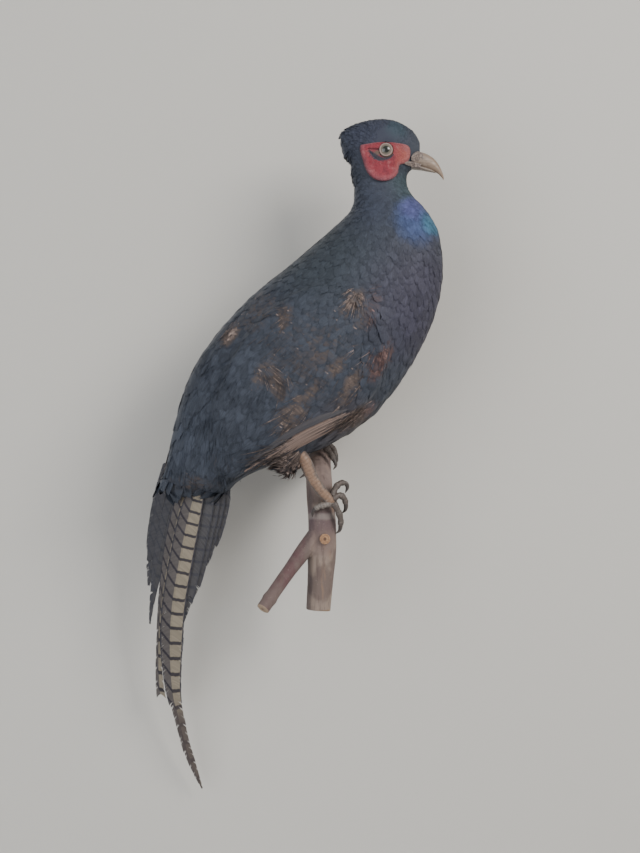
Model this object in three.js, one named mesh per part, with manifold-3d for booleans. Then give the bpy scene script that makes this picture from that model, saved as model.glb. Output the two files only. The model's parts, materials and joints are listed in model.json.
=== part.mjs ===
// A cock pheasant of the black (melanistic) form, mounted as taxidermy on a forked branch that hangs on a wall.
//
// Millimetres. X points the way the bird looks, Y points into the wall, Z is up. The origin is the middle of
// the branch's sawn face, which lies on the wall in the plane y = 0, so that the whole part is at y <= 0.
// The bird's flesh is one lofted body, parted by thin cuts. Wings, wattles and thighs lie on it with a gap.
import * as THREE from "three";
import { mergeVertices } from "three/addons/utils/BufferGeometryUtils.js";
import Module from "manifold-3d";

const wasm = await Module();
wasm.setup();

// ---------------------------------------------------------------- driving dimensions
const GAP = 0.35; // between solids that touch
const MEDIAN_Y = -100; // the trunk's middle plane
const HEAD_Y = -101; // the head's middle plane
const REACH = 900; // more than the part's size, for boxes that cut
const WING_THICKNESS = 7;
const WATTLE_THICKNESS = 1.6;
const EYE_RADIUS = 7.4;
const EYE_PLACE = { x: 61.6, z: 277.2, inset: 15.4 }; // inset: from the middle plane to the eyeball's centre
const SHANK_RADII = [4.4, 3.9, 4, 4.7];
const TOE_RADII = [3.2, 2.4, 2.1, 1.8];
const CLAW_RADII = [1.7, 1.9, 1.3, 0.4];
const SPUR_RADII = [2.1, 1.3, 0.4];
const QUILL_PLATE = 0.8; // thickness of a tail feather
const QUILL_LAYER = 1.35; // from one tail feather to the next below it

// Trunk stations from the throat to the root of the tail: the back's and the belly's points (x, z), half the
// width, and the middle plane's y, which the tail's twist moves towards the wall.
const BODY_STATIONS = [
  { back: [29, 276], belly: [82, 262], half: 17, y: -101 },
  { back: [31.4, 243], belly: [86, 241], half: 22.5, y: -101 },
  { back: [31.8, 230], belly: [98, 230], half: 28, y: -101 },
  { back: [14, 212.3], belly: [113, 209], half: 39, y: MEDIAN_Y },
  { back: [-7, 194], belly: [118, 172.5], half: 48, y: MEDIAN_Y },
  { back: [-32.2, 172.7], belly: [114.5, 141.5], half: 54, y: MEDIAN_Y },
  { back: [-58.4, 152.2], belly: [102.5, 107.5], half: 57.5, y: MEDIAN_Y },
  { back: [-84.5, 126], belly: [84.2, 74.3], half: 58, y: MEDIAN_Y },
  { back: [-107, 97.5], belly: [56, 37], half: 56, y: MEDIAN_Y },
  { back: [-123, 67.8], belly: [15.5, 8.3], half: 50, y: MEDIAN_Y },
  { back: [-131.3, 39.5], belly: [-26, -7], half: 41, y: -99 },
  { back: [-137, 14], belly: [-61, -18.5], half: 32, y: -97 },
  { back: [-143.8, -14], belly: [-79, -31], half: 24, y: -94 },
  { back: [-149, -24], belly: [-83, -39], half: 19, y: -92 },
];
// Head stations from the nape to the forehead: x, top, bottom and half the width.
const HEAD_STATIONS = [
  { x: 21, top: 297, bottom: 285, half: 8 },
  { x: 30, top: 302.5, bottom: 266, half: 15 },
  { x: 42, top: 307.5, bottom: 251, half: 19 },
  { x: 57, top: 310, bottom: 247, half: 20 },
  { x: 71, top: 308.5, bottom: 248.5, half: 18.5 },
  { x: 82, top: 303, bottom: 257, half: 14.5 },
  { x: 89.5, top: 297, bottom: 265, half: 10 },
  { x: 94.5, top: 288, bottom: 273, half: 5.5 },
];
// Where the body is parted: a point (x, z) on each cut and the cut's direction across the body.
const CUTS = {
  primaries: { at: [-5, 27], along: [0.87, 0.5] },
  head: { at: [57, 246], along: [1, -0.12] },
  neck: { at: [62, 222], along: [1, -0.04] },
  rump: { at: [-78, 16], along: [0.91, -0.41] },
};
// The folded wing's outline (x, z) from the bend at the breast, along the back and round the tip.
const WING_OUTLINE = [
  [66, 100], [56, 128], [32, 148], [0, 154], [-33, 140], [-62, 112], [-82, 78], [-94, 42],
  [-97, 8], [-90, -18], [-78, -25], [-70, -20], [-51, -11], [-25, 1.5], [12, 22], [40, 42], [60, 66],
];
// The bare face's outline (x, z).
const WATTLE_OUTLINE = [
  [38.5, 281.9], [56.2, 284.1], [75.9, 283.3], [83.1, 280.7], [84.2, 273.5], [81.4, 266.6], [74.4, 264.1],
  [72.6, 256.7], [67.6, 251], [59.2, 248.6], [50.8, 250.8], [44.4, 257.7], [40.5, 268.6], [38.1, 277.4],
];
// The upper bill from its root to the tip: x, ridge, edge and half the width.
const UPPER_BILL = [
  { x: 79, top: 281, bottom: 267.5, half: 7.4 },
  { x: 92, top: 278.6, bottom: 268, half: 6.2 },
  { x: 100, top: 276.5, bottom: 265.6, half: 5.2 },
  { x: 107, top: 272, bottom: 262.2, half: 4 },
  { x: 112, top: 266.5, bottom: 258.4, half: 2.7 },
  { x: 114.6, top: 260, bottom: 254.8, half: 1.5 },
  { x: 115.9, top: 254.4, bottom: 252.8, half: 0.6 },
];
const LOWER_BILL = [
  { x: 79, top: 267, bottom: 263.4, half: 6.4 },
  { x: 92, top: 267.3, bottom: 263.5, half: 5.2 },
  { x: 100, top: 264.9, bottom: 262, half: 4.1 },
  { x: 106.5, top: 261.8, bottom: 259.8, half: 2.8 },
];
// Branch: the stem from its cut foot up, then back to the wall; the cut side shoot; the scar of a third twig.
const STEM_PATH = [
  [0.2, -99, -143], [2.5, -98, -110.8], [3.9, -97, -83], [3.7, -95, -59], [1.8, -91, -39],
  [0.8, -81, -21.5], [0.2, -62, -8.5], [0, -34, -1.5], [0, 0, 0],
];
const STEM_RADII = [11.3, 11.9, 12.4, 12.9, 12.5, 12, 12, 12.4, 13];
const STEM_SWELLING = { at: 0.25, width: 0.07, by: 0.9 }; // where the shoot leaves it
const SHOOT_PATH = [
  [0, -98, -72], [-10, -104, -84], [-20, -112, -97], [-31.3, -123, -111.8], [-49.6, -138, -137.4],
];
const SHOOT_RADII = [8.6, 7.6, 6.4, 6.2, 6.2];
const KNOT = { at: [6.4, -111.6, -76.5], radius: 4.4, deep: 4, stands: 1.2 };
// The tail's ridge from the root of the tail to its tip.
const TAIL_RIDGE = [
  [-112.5, -99, -21], [-117.2, -95.5, -41.6], [-123.7, -90, -66.9], [-131.6, -80, -104], [-138.4, -68, -144.6],
  [-141.4, -56, -186], [-140.2, -44, -226], [-135.6, -36, -251.3], [-126.6, -25, -291], [-113.6, -14, -328.2],
];
const TAIL_ROOF = 0.36; // how steeply the tail falls away on each side of its ridge
const TAIL_RIDGE_ROUND = 9; // how wide the ridge is rounded
const TAIL_TURN = [72, 84]; // degrees that the upper side is turned to the room, at the root and at the tip
const SIDE_VANE = [0.62, 0.9, 1, 1, 0.96, 0.86, 0.62, 0.14]; // a side feather's width from its root to its tip
// Each tail feather: its length as a share of the ridge, its middle at the root and the tip, half its width,
// and the layer that it lies in, from the top.
const TAIL_FEATHERS = [
  {
    name: "tail_middle_a", share: 1, root: 1, tip: 0, half: 11.8, layer: 0,
    vane: [0.66, 0.94, 1, 1, 1, 0.95, 0.72, 0.45, 0.4, 0.3, 0.07],
  },
  {
    name: "tail_middle_b", share: 0.68, root: -8, tip: -11.6, half: 9.5, layer: 1,
    vane: [0.7, 0.95, 0.88, 0.55, 0.36, 0.4, 0.6],
  },
  { name: "tail_right_1", share: 0.44, root: 11, tip: 10, half: 9.5, layer: 2 },
  { name: "tail_left_1", share: 0.42, root: -22, tip: -24.5, half: 9, layer: 3 },
  { name: "tail_right_2", share: 0.38, root: 15.5, tip: 14.5, half: 9, layer: 4 },
  { name: "tail_left_2", share: 0.37, root: -33, tip: -31.5, half: 8.5, layer: 5 },
  { name: "tail_right_3", share: 0.29, root: 19, tip: 18, half: 8.5, layer: 6 },
  { name: "tail_left_3", share: 0.31, root: -41, tip: -36, half: 8, layer: 7 },
  { name: "tail_right_4", share: 0.22, root: 22, tip: 21.5, half: 8.5, layer: 8 },
];
// Legs. Each toe is a path of four points; its claw goes on from the last one.
const LEGS = {
  right: {
    thigh: [[-20, -124, 30], [-23, -124, 10], [-25, -123, -7], [-22, -121, -15]],
    thighRadii: [21, 17, 11, 6],
    tarsus: [[-22, -122, -9], [-8, -119, -11], [6, -115, -29], [14.5, -109, -42]],
    toes: {
      inner: {
        path: [[13, -110, -37], [16.5, -108, -29.4], [21, -105, -25.6], [25.4, -102.5, -26]],
        claw: [[27, -101.5, -30], [25, -101, -35]],
      },
      middle: {
        path: [[13.5, -111, -40], [19.4, -109, -36.6], [24.2, -106, -40], [25.6, -104, -46]],
        claw: [[25, -102, -50.5], [21.6, -100.5, -54]],
      },
      outer: {
        path: [[14, -112, -43], [18.4, -110.3, -51], [20.8, -107.5, -59], [20.6, -104.5, -65.5]],
        claw: [[19.6, -102.4, -69.5], [16, -101.6, -72.5]],
      },
      hind: {
        path: [[12, -111, -44], [8, -112.5, -47], [3.5, -112.2, -50], [0, -111.5, -53.5]],
        claw: [[-2, -110.8, -56.5], [-2.6, -110.6, -60]],
      },
    },
    spur: [[-10, -118.6, -16], [-13.5, -118, -19], [-17, -117.5, -22]],
  },
  left: {
    thigh: [[-24, -74, 30], [-29, -74, 10], [-31, -75, -2], [-29, -75.5, -9]],
    thighRadii: [20, 15, 9, 5],
    tarsus: [[-30, -75.5, -5], [-22, -73, -1.5], [-13, -70, 4], [-3, -67, 9.5]],
    toes: {
      inner: {
        path: [[-3, -69, 10], [4, -74, 9], [11, -79, 2], [15.5, -82, -6]],
        claw: [[16.5, -83, -10.5], [14, -83.5, -14]],
      },
      middle: {
        path: [[-2, -66.5, 10.5], [6, -67, 11], [13.5, -68, 5.5], [16.8, -69, -2]],
        claw: [[17.4, -69.5, -6.5], [15, -70, -10]],
      },
      outer: {
        path: [[-3, -64, 11], [5, -60, 12], [13, -56, 7], [16.8, -54, 0]],
        claw: [[17.6, -53.5, -4.5], [15.4, -53.5, -8]],
      },
      hind: {
        path: [[-5, -67, 9], [-10, -65, 8.5], [-14.6, -63, 4], [-16.4, -62, -2]],
        claw: [[-16.4, -61.5, -6], [-14.6, -61.3, -9.2]],
      },
    },
    spur: [[-20, -74.4, -2.5], [-22.5, -76.5, -6], [-24.5, -78, -10]],
  },
};
const COLOURS = {
  plumage: 0x23272e, wattle: 0xa8323a, eye: 0x1c1a16, bill: 0xb5a288, leg: 0x8a7358, claw: 0x4c443d,
  bark: 0x6b554a, tail: 0x6f6a5c, wing: 0x3a3230,
};

// ---------------------------------------------------------------- solids
const vector = (p) => new THREE.Vector3(...p);
const curveThrough = (points) => new THREE.CatmullRomCurve3(points.map(vector), false, "centripetal");

function solidOf(geometry) {
  const bare = geometry.clone();
  bare.deleteAttribute("normal");
  bare.deleteAttribute("uv");
  const merged = mergeVertices(bare, 1e-4);
  return new wasm.Manifold(
    new wasm.Mesh({
      numProp: 3,
      vertProperties: merged.attributes.position.array,
      triVerts: new Uint32Array(merged.index.array),
    }),
  );
}

function geometryOf(solid) {
  const mesh = solid.getMesh();
  return new THREE.BufferGeometry()
    .setAttribute("position", new THREE.BufferAttribute(new Float32Array(mesh.vertProperties), 3))
    .setIndex(new THREE.BufferAttribute(new Uint32Array(mesh.triVerts), 1));
}

// The largest piece of a solid, without the crumbs that a cut can leave.
function largest(solid) {
  return solid.decompose().reduce((a, b) => (a.volume() > b.volume() ? a : b));
}

// A closed solid through rings of equal length, with flat ends.
function loft(rings) {
  const count = rings[0].length;
  const places = rings.flat().flatMap((p) => [p.x, p.y, p.z]);
  const faces = [];
  for (let i = 0; i + 1 < rings.length; i++) {
    for (let j = 0; j < count; j++) {
      const [a, b] = [i * count + j, i * count + ((j + 1) % count)];
      faces.push(a, b, b + count, a, b + count, a + count);
    }
  }
  for (const [ring, first, turn] of [[rings[0], 0, 1], [rings.at(-1), (rings.length - 1) * count, -1]]) {
    const middle = ring.reduce((sum, p) => sum.add(p), new THREE.Vector3()).divideScalar(count);
    const hub = places.length / 3;
    places.push(middle.x, middle.y, middle.z);
    for (let j = 0; j < count; j++) {
      const [a, b] = [first + j, first + ((j + 1) % count)];
      faces.push(...(turn > 0 ? [hub, b, a] : [hub, a, b]));
    }
  }
  const geometry = new THREE.BufferGeometry()
    .setAttribute("position", new THREE.Float32BufferAttribute(places, 3))
    .setIndex(faces);
  const solid = solidOf(geometry);
  if (solid.volume() > 0) return solid;
  for (let i = 0; i < faces.length; i += 3) [faces[i + 1], faces[i + 2]] = [faces[i + 2], faces[i + 1]];
  return solidOf(geometry.setIndex(faces));
}

// An ellipse, a little squared, in the plane of two half axes.
function ellipseRing(centre, across, up, sides, power = 2.15) {
  const bulge = (v) => Math.sign(v) * Math.abs(v) ** (2 / power);
  return Array.from({ length: sides }, (_, i) => {
    const angle = (i / sides) * 2 * Math.PI;
    return centre
      .clone()
      .addScaledVector(up, bulge(Math.cos(angle)))
      .addScaledVector(across, bulge(Math.sin(angle)));
  });
}

// A tube along a curve; radii are spread evenly over its length. swelling adds to the radius near one place.
function tube(path, radii, { sides = 10, steps = 12, flatten = 1, swelling = null } = {}) {
  const curve = curveThrough(path);
  const frames = curve.computeFrenetFrames(steps, false);
  const rings = [];
  for (let i = 0; i <= steps; i++) {
    const t = i / steps;
    const place = t * (radii.length - 1);
    const k = Math.min(Math.floor(place), radii.length - 2);
    let radius = THREE.MathUtils.lerp(radii[k], radii[k + 1], place - k);
    if (swelling) radius += swelling.by * Math.exp(-(((t - swelling.at) / swelling.width) ** 2));
    rings.push(
      ellipseRing(
        curve.getPointAt(t),
        frames.normals[i].clone().multiplyScalar(radius),
        frames.binormals[i].clone().multiplyScalar(radius * flatten),
        sides,
        2,
      ),
    );
  }
  return loft(rings);
}

// The value of a list of numbers at a smooth place along it.
function smoothAt(values, t) {
  return new THREE.SplineCurve(values.map((v, i) => new THREE.Vector2(i, v))).getPoint(t).y;
}

function bodyLoft(grow = 0) {
  const sections = 21;
  const sides = 20;
  const back = BODY_STATIONS.map((s) => [s.back[0], s.y, s.back[1]]);
  const belly = BODY_STATIONS.map((s) => [s.belly[0], s.y, s.belly[1]]);
  const [backCurve, bellyCurve] = [back, belly].map((p) => new THREE.CatmullRomCurve3(p.map(vector)));
  const rings = [];
  for (let i = 0; i <= sections; i++) {
    const t = i / sections;
    const [top, bottom] = [backCurve.getPoint(t), bellyCurve.getPoint(t)];
    const centre = top.clone().add(bottom).multiplyScalar(0.5);
    const up = top.clone().sub(centre);
    const half = smoothAt(BODY_STATIONS.map((s) => s.half), t) + grow;
    rings.push(ellipseRing(centre, new THREE.Vector3(0, half, 0), up.setLength(up.length() + grow), sides));
  }
  return loft(rings);
}

// A solid through upright stations along x: the head and the bill.
function uprightLoft(stations, { grow = 0, sides = 16, sections = 11, power = 2.1 } = {}) {
  const rings = [];
  for (let i = 0; i <= sections; i++) {
    const t = i / sections;
    const [x, top, bottom, half] = ["x", "top", "bottom", "half"].map((key) =>
      smoothAt(stations.map((s) => s[key]), t),
    );
    const lean = i === 0 ? -grow : i === sections ? grow : 0;
    rings.push(
      ellipseRing(
        new THREE.Vector3(x + lean, HEAD_Y, (top + bottom) / 2),
        new THREE.Vector3(0, half + grow, 0),
        new THREE.Vector3(0, 0, (top - bottom) / 2 + grow),
        sides,
        power,
      ),
    );
  }
  return loft(rings);
}

const headLoft = (grow = 0) => uprightLoft(HEAD_STATIONS, { grow });

// A prism over a closed outline in x and z, from the middle plane out to one side. spread widens the outline.
function sidePrism(outline, side, spread = 0) {
  const middle = outline.reduce((m, p) => [m[0] + p[0] / outline.length, m[1] + p[1] / outline.length], [0, 0]);
  const points = outline.map(([x, z]) => {
    const out = new THREE.Vector2(x - middle[0], z - middle[1]);
    out.setLength(out.length() + spread * Math.SQRT2);
    return new THREE.Vector2(middle[0] + out.x, middle[1] + out.y);
  });
  const count = Math.round(points.length * 1.6);
  const shape = new THREE.Shape(new THREE.SplineCurve([...points, points[0]]).getPoints(count).slice(0, -1));
  const geometry = new THREE.ExtrudeGeometry(shape, { depth: REACH, bevelEnabled: false });
  geometry.rotateX(Math.PI / 2); // the shape's y becomes z, and its depth runs towards -y
  geometry.translate(0, side > 0 ? MEDIAN_Y + REACH : MEDIAN_Y, 0);
  return solidOf(geometry);
}

// Everything on one side of a cut, as a big box.
function halfSpace({ at, along }, side) {
  const geometry = new THREE.BoxGeometry(REACH, REACH, REACH);
  geometry.translate(0, 0, (side * (REACH + GAP)) / 2);
  geometry.rotateY(-Math.atan2(along[1], along[0]));
  geometry.translate(at[0], MEDIAN_Y, at[1]);
  return solidOf(geometry);
}

const sphere = (x, y, z, r) => solidOf(new THREE.SphereGeometry(r, 12, 8).translate(x, y, z));

// ---------------------------------------------------------------- the bird's body
const SIDES = { right: -1, left: 1 }; // the sign of y, seen from the middle plane

const body = bodyLoft();
const bodyGrown = bodyLoft(GAP);
const flesh = body.add(headLoft());

const eyeBall = (side, grow = 0) =>
  sphere(EYE_PLACE.x, HEAD_Y + SIDES[side] * EYE_PLACE.inset, EYE_PLACE.z, EYE_RADIUS + grow);

const aboveNeckCut = halfSpace(CUTS.neck, 1);
const headSolid = ["right", "left"].reduce(
  (solid, side) => solid.subtract(eyeBall(side, GAP)),
  flesh.intersect(halfSpace(CUTS.head, 1)).intersect(halfSpace(CUTS.neck, 1)),
);
const neckSolid = flesh.intersect(halfSpace(CUTS.head, -1)).intersect(aboveNeckCut);
const belowNeck = flesh.intersect(halfSpace(CUTS.neck, -1));
const trunkSolid = belowNeck.intersect(halfSpace(CUTS.rump, 1));
const rumpSolid = belowNeck.intersect(halfSpace(CUTS.rump, -1));

function wing(side, spread = 0) {
  return bodyLoft(WING_THICKNESS + spread).intersect(sidePrism(WING_OUTLINE, SIDES[side], spread));
}

function wattle(side) {
  const cheek = headLoft(WATTLE_THICKNESS).add(bodyLoft(WATTLE_THICKNESS));
  return cheek
    .intersect(sidePrism(WATTLE_OUTLINE, SIDES[side]))
    .subtract(headLoft(GAP).add(bodyGrown))
    .subtract(eyeBall(side, GAP));
}

const upperBill = uprightLoft(UPPER_BILL, { sides: 12, sections: 8, power: 1.9 });
const lowerBill = uprightLoft(LOWER_BILL, { sides: 10, sections: 5, power: 1.9 });
const headRoom = headLoft(GAP).add(bodyGrown);

// ---------------------------------------------------------------- the branch
const stemTube = (grow) =>
  tube(STEM_PATH, STEM_RADII.map((r) => r + grow), { sides: 14, steps: 18, swelling: STEM_SWELLING });
const roomSpace = solidOf(new THREE.BoxGeometry(REACH, REACH, REACH).translate(0, -REACH / 2, 0)); // y <= 0
const stemSolid = stemTube(0).intersect(roomSpace);
const stemGrown = stemTube(GAP);
const shootSolid = tube(SHOOT_PATH, SHOOT_RADII, { sides: 10, steps: 8 }).subtract(stemGrown);
const knotGeometry = new THREE.CylinderGeometry(KNOT.radius, KNOT.radius + 0.8, KNOT.deep, 12);
knotGeometry.translate(KNOT.at[0], KNOT.at[1] + KNOT.deep / 2 - KNOT.stands, KNOT.at[2]);
const knotSolid = solidOf(knotGeometry).subtract(stemGrown);

// ---------------------------------------------------------------- the tail
function tailFrame(t) {
  const ridge = curveThrough(TAIL_RIDGE);
  const along = ridge.getTangentAt(t);
  const turn = THREE.MathUtils.degToRad(THREE.MathUtils.lerp(...TAIL_TURN, t));
  const sideways = new THREE.Vector3(-1, 0, 0); // the way the back faces before the tail is turned
  const dorsal = sideways.multiplyScalar(Math.cos(turn)).add(new THREE.Vector3(0, -Math.sin(turn), 0));
  dorsal.addScaledVector(along, -dorsal.dot(along)).normalize();
  const right = new THREE.Vector3().crossVectors(dorsal, along).negate();
  return { place: ridge.getPointAt(t), dorsal, right: right.x > 0 ? right : right.negate() };
}

// A point of the tail's roof: t along the ridge, w to the right of it, and depth below its upper side.
function tailPoint({ place, dorsal, right }, w, depth) {
  const fall = (Math.hypot(w, TAIL_RIDGE_ROUND) - TAIL_RIDGE_ROUND) * TAIL_ROOF;
  return place.clone().addScaledVector(right, w).addScaledVector(dorsal, -fall - depth);
}

function tailFeather({ share, root, tip, half, layer, vane = SIDE_VANE }) {
  const steps = Math.max(6, Math.round(20 * share));
  const rings = [];
  for (let i = 0; i <= steps; i++) {
    const s = i / steps;
    const frame = tailFrame(s * share);
    const middle = THREE.MathUtils.lerp(root, tip, s ** 1.2);
    const width = half * smoothAt(vane, s);
    const top = layer * QUILL_LAYER;
    const across = [-1, -0.33, 0.33, 1].map((w) => middle + w * width);
    rings.push([
      ...across.map((w) => tailPoint(frame, w, top)),
      ...across.reverse().map((w) => tailPoint(frame, w, top + QUILL_PLATE)),
    ]);
  }
  return loft(rings);
}

// ---------------------------------------------------------------- the legs
function leg(side) {
  const { thigh, thighRadii, tarsus, toes, spur } = LEGS[side];
  const shank = (grow) => tube(tarsus, SHANK_RADII.map((r) => r + grow), { sides: 8, steps: 6, flatten: 0.85 });
  const toeTube = (path, grow) => tube(path, TOE_RADII.map((r) => r + grow), { sides: 6, steps: 5 });
  const foot = Object.values(toes).reduce(
    (solid, toe) => solid.add(toeTube(toe.path, 0)),
    shank(0),
  );
  const footRoom = Object.values(toes).reduce((solid, toe) => solid.add(toeTube(toe.path, GAP)), shank(GAP));
  const claws = Object.entries(toes).map(([name, { path, claw }]) => {
    const [before, last] = path.slice(-2);
    const solid = tube([before, last, ...claw], CLAW_RADII, { sides: 6, steps: 5 });
    return [`claw_${side}_${name}`, solid.subtract(footRoom)];
  });
  return {
    thigh: tube(thigh, thighRadii, { sides: 12, steps: 5 }),
    footRoom,
    foot,
    claws: [...claws, [`spur_${side}`, tube(spur, SPUR_RADII, { sides: 6, steps: 3 }).subtract(footRoom)]],
  };
}

// ---------------------------------------------------------------- the part
const part = new THREE.Group();

function addNode(name, solid, colour, roughness = 0.75) {
  const material = new THREE.MeshStandardMaterial({ color: colour, roughness, metalness: 0 });
  const mesh = new THREE.Mesh(geometryOf(largest(solid)), material);
  mesh.name = name;
  part.add(mesh);
}

addNode("head", headSolid, COLOURS.plumage);
addNode("neck", neckSolid, COLOURS.plumage);
addNode("trunk", trunkSolid, COLOURS.plumage);
addNode("rump", rumpSolid, COLOURS.plumage);
addNode("bill_upper", upperBill.subtract(headRoom), COLOURS.bill, 0.4);
addNode("bill_lower", lowerBill.subtract(headRoom), COLOURS.bill, 0.4);
addNode("branch_stem", stemSolid, COLOURS.bark, 0.85);
addNode("branch_shoot", shootSolid, COLOURS.bark, 0.85);
addNode("branch_knot", knotSolid, COLOURS.bark, 0.85);

for (const side of Object.keys(SIDES)) {
  const { thigh, foot, footRoom, claws } = leg(side);
  addNode(`eye_${side}`, eyeBall(side), COLOURS.eye, 0.1);
  addNode(`wattle_${side}`, wattle(side), COLOURS.wattle, 0.6);
  const folded = wing(side).subtract(bodyGrown);
  addNode(`wing_${side}`, folded.intersect(halfSpace(CUTS.primaries, 1)), COLOURS.wing);
  addNode(`wing_${side}_primaries`, folded.intersect(halfSpace(CUTS.primaries, -1)), COLOURS.wing);
  const taken = bodyGrown.add(wing(side, GAP)).add(stemGrown);
  addNode(`thigh_${side}`, thigh.subtract(taken).subtract(footRoom), COLOURS.plumage);
  addNode(`foot_${side}`, foot.subtract(taken), COLOURS.leg, 0.5);
  for (const [name, solid] of claws) addNode(name, solid.subtract(taken), COLOURS.claw, 0.4);
}
for (const feather of TAIL_FEATHERS) {
  addNode(feather.name, tailFeather(feather).subtract(bodyGrown), COLOURS.tail);
}

export default part;
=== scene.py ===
# %% [markdown]
# # A mounted dark pheasant on a wall branch
# The solid pieces of the bird and its branch come in as a fixed frame. This notebook dresses them: one
# skin over the flesh, feathers laid over the skin in the way they grow, the bare red face, horn, scales
# and bark. All lengths are in metres. X is the way the bird looks, Y runs into the wall and Z is up.

# %% Load the frame
import json
import math

import bpy
import numpy as np
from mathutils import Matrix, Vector
from mathutils.bvhtree import BVHTree
from mathutils.kdtree import KDTree

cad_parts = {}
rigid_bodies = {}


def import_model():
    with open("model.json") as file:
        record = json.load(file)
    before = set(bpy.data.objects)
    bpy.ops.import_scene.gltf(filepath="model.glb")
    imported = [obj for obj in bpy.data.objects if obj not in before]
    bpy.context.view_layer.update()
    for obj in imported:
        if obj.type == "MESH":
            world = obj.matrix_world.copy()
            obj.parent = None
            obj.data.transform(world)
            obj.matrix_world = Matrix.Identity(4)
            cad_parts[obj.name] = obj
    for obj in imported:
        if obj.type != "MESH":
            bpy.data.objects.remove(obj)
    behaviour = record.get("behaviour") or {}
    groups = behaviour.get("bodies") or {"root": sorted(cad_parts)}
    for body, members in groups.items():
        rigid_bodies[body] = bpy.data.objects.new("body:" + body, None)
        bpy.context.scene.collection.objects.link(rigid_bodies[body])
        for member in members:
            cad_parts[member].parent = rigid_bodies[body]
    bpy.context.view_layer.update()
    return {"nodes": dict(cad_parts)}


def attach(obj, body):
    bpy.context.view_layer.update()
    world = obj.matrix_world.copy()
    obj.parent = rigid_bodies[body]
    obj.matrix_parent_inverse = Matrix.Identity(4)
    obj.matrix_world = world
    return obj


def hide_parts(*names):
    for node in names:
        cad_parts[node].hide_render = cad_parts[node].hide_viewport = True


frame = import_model()
nodes = frame["nodes"]
MM = 0.001
MEDIAN = -100 * MM  # the trunk's middle plane, in y
HEAD_MEDIAN = -101 * MM
SIDES = {"right": -1, "left": 1}  # the sign of y, from the middle plane


# %% [markdown]
# ## Camera, wall, floor and light
# A mounted bird hangs on a wall, so the scene gets a plain wall just behind the sawn face and a plain
# floor far below. The wall is see-through from behind, so that the back of the bird can be looked at too.
# One big soft lamp stands to the right, above and in front, as a window would, and two weak ones open the
# shadows.

# %% Camera, wall and floor
CAMERA_PLACE = (1.84 * MM, -1.5, 26.2 * MM)
CAMERA_LENS = 64.2
WALL_Y = 1.5 * MM
FLOOR_Z = -1.1


def plain_material(name, colour, roughness):
    made = bpy.data.materials.new(name)
    made.use_nodes = True
    shader = made.node_tree.nodes["Principled BSDF"]
    shader.inputs["Base Color"].default_value = (*colour, 1)
    shader.inputs["Roughness"].default_value = roughness
    return made


bpy.ops.object.camera_add(location=CAMERA_PLACE, rotation=(math.pi / 2, 0, 0))
camera = bpy.context.object
camera.data.lens = CAMERA_LENS
camera.data.clip_start = 0.05
bpy.context.scene.camera = camera

bpy.ops.mesh.primitive_plane_add(size=6, location=(0, WALL_Y, 0), rotation=(math.pi / 2, 0, 0))
wall = bpy.context.object
wall.name = "wall"
wall.visible_shadow = False
wall_finish = plain_material("pale wall", (0.56, 0.54, 0.5), 0.95)
tree = wall_finish.node_tree
facing = tree.nodes.new("ShaderNodeNewGeometry")
clear = tree.nodes.new("ShaderNodeBsdfTransparent")
either = tree.nodes.new("ShaderNodeMixShader")
tree.links.new(facing.outputs["Backfacing"], either.inputs["Fac"])
tree.links.new(tree.nodes["Principled BSDF"].outputs[0], either.inputs[1])
tree.links.new(clear.outputs[0], either.inputs[2])
tree.links.new(either.outputs[0], tree.nodes["Material Output"].inputs["Surface"])
wall.data.materials.append(wall_finish)

bpy.ops.mesh.primitive_plane_add(size=8, location=(0, 0, FLOOR_Z))
floor = bpy.context.object
floor.name = "floor"
floor.data.materials.append(plain_material("pale floor", (0.6, 0.6, 0.6), 0.9))


# %% Light
def soft_lamp(name, place, target, size, power, colour=(1, 1, 1)):
    turn = (Vector(target) - Vector(place)).to_track_quat("-Z", "Y").to_euler()
    bpy.ops.object.light_add(type="AREA", location=place, rotation=turn)
    lamp = bpy.context.object
    lamp.name = name
    lamp.data.size = size
    lamp.data.energy = power
    lamp.data.color = colour


soft_lamp("window lamp", (1.5, -1.7, 1.1), (0, -0.1, 0), 1.1, 52, (1, 0.97, 0.93))
soft_lamp("front fill", (-1.3, -2.0, 0.1), (0, -0.1, 0), 1.8, 26, (0.93, 0.96, 1))
soft_lamp("back fill", (-0.9, 1.8, 0.7), (0, -0.1, 0), 1.4, 16)
world = bpy.data.worlds.new("pale room")
bpy.context.scene.world = world
world.use_nodes = True
world.node_tree.nodes["Background"].inputs["Color"].default_value = (0.86, 0.89, 0.93, 1)
world.node_tree.nodes["Background"].inputs["Strength"].default_value = 0.55


# %% [markdown]
# ## Small helpers for node trees
# Every finish here is procedural. Writing a tree in code is easier to read when a node is made and wired
# in one line, so these helpers take either plain values or sockets.

# %% Node helpers
def new_node(tree, kind, settings=None, **inputs):
    made = tree.nodes.new("ShaderNode" + kind)
    for key, value in (settings or {}).items():
        setattr(made, key, value)
    for key, value in inputs.items():
        feed(tree, made.inputs[key.replace("_", " ")], value)
    return made


def feed(tree, socket, value):
    if isinstance(value, bpy.types.NodeSocket):
        tree.links.new(value, socket)
    elif value is not None:
        socket.default_value = value


def calculate(tree, operation, a, b=None, c=None):
    made = new_node(tree, "Math", {"operation": operation})
    for socket, value in zip(made.inputs, (a, b, c)):
        feed(tree, socket, value)
    return made.outputs[0]


def times(tree, a, b):
    return calculate(tree, "MULTIPLY", a, b)


def vector(tree, operation, a, b=None, c=None):
    made = new_node(tree, "VectorMath", {"operation": operation})
    for socket, value in zip(made.inputs, (a, b, c)):
        feed(tree, socket, value)
    return made.outputs["Value" if operation in ("LENGTH", "DISTANCE", "DOT_PRODUCT") else "Vector"]


def scaled(tree, colour, amount):
    return new_node(tree, "VectorMath", {"operation": "SCALE"}, Vector=colour, Scale=amount).outputs[0]


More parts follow.
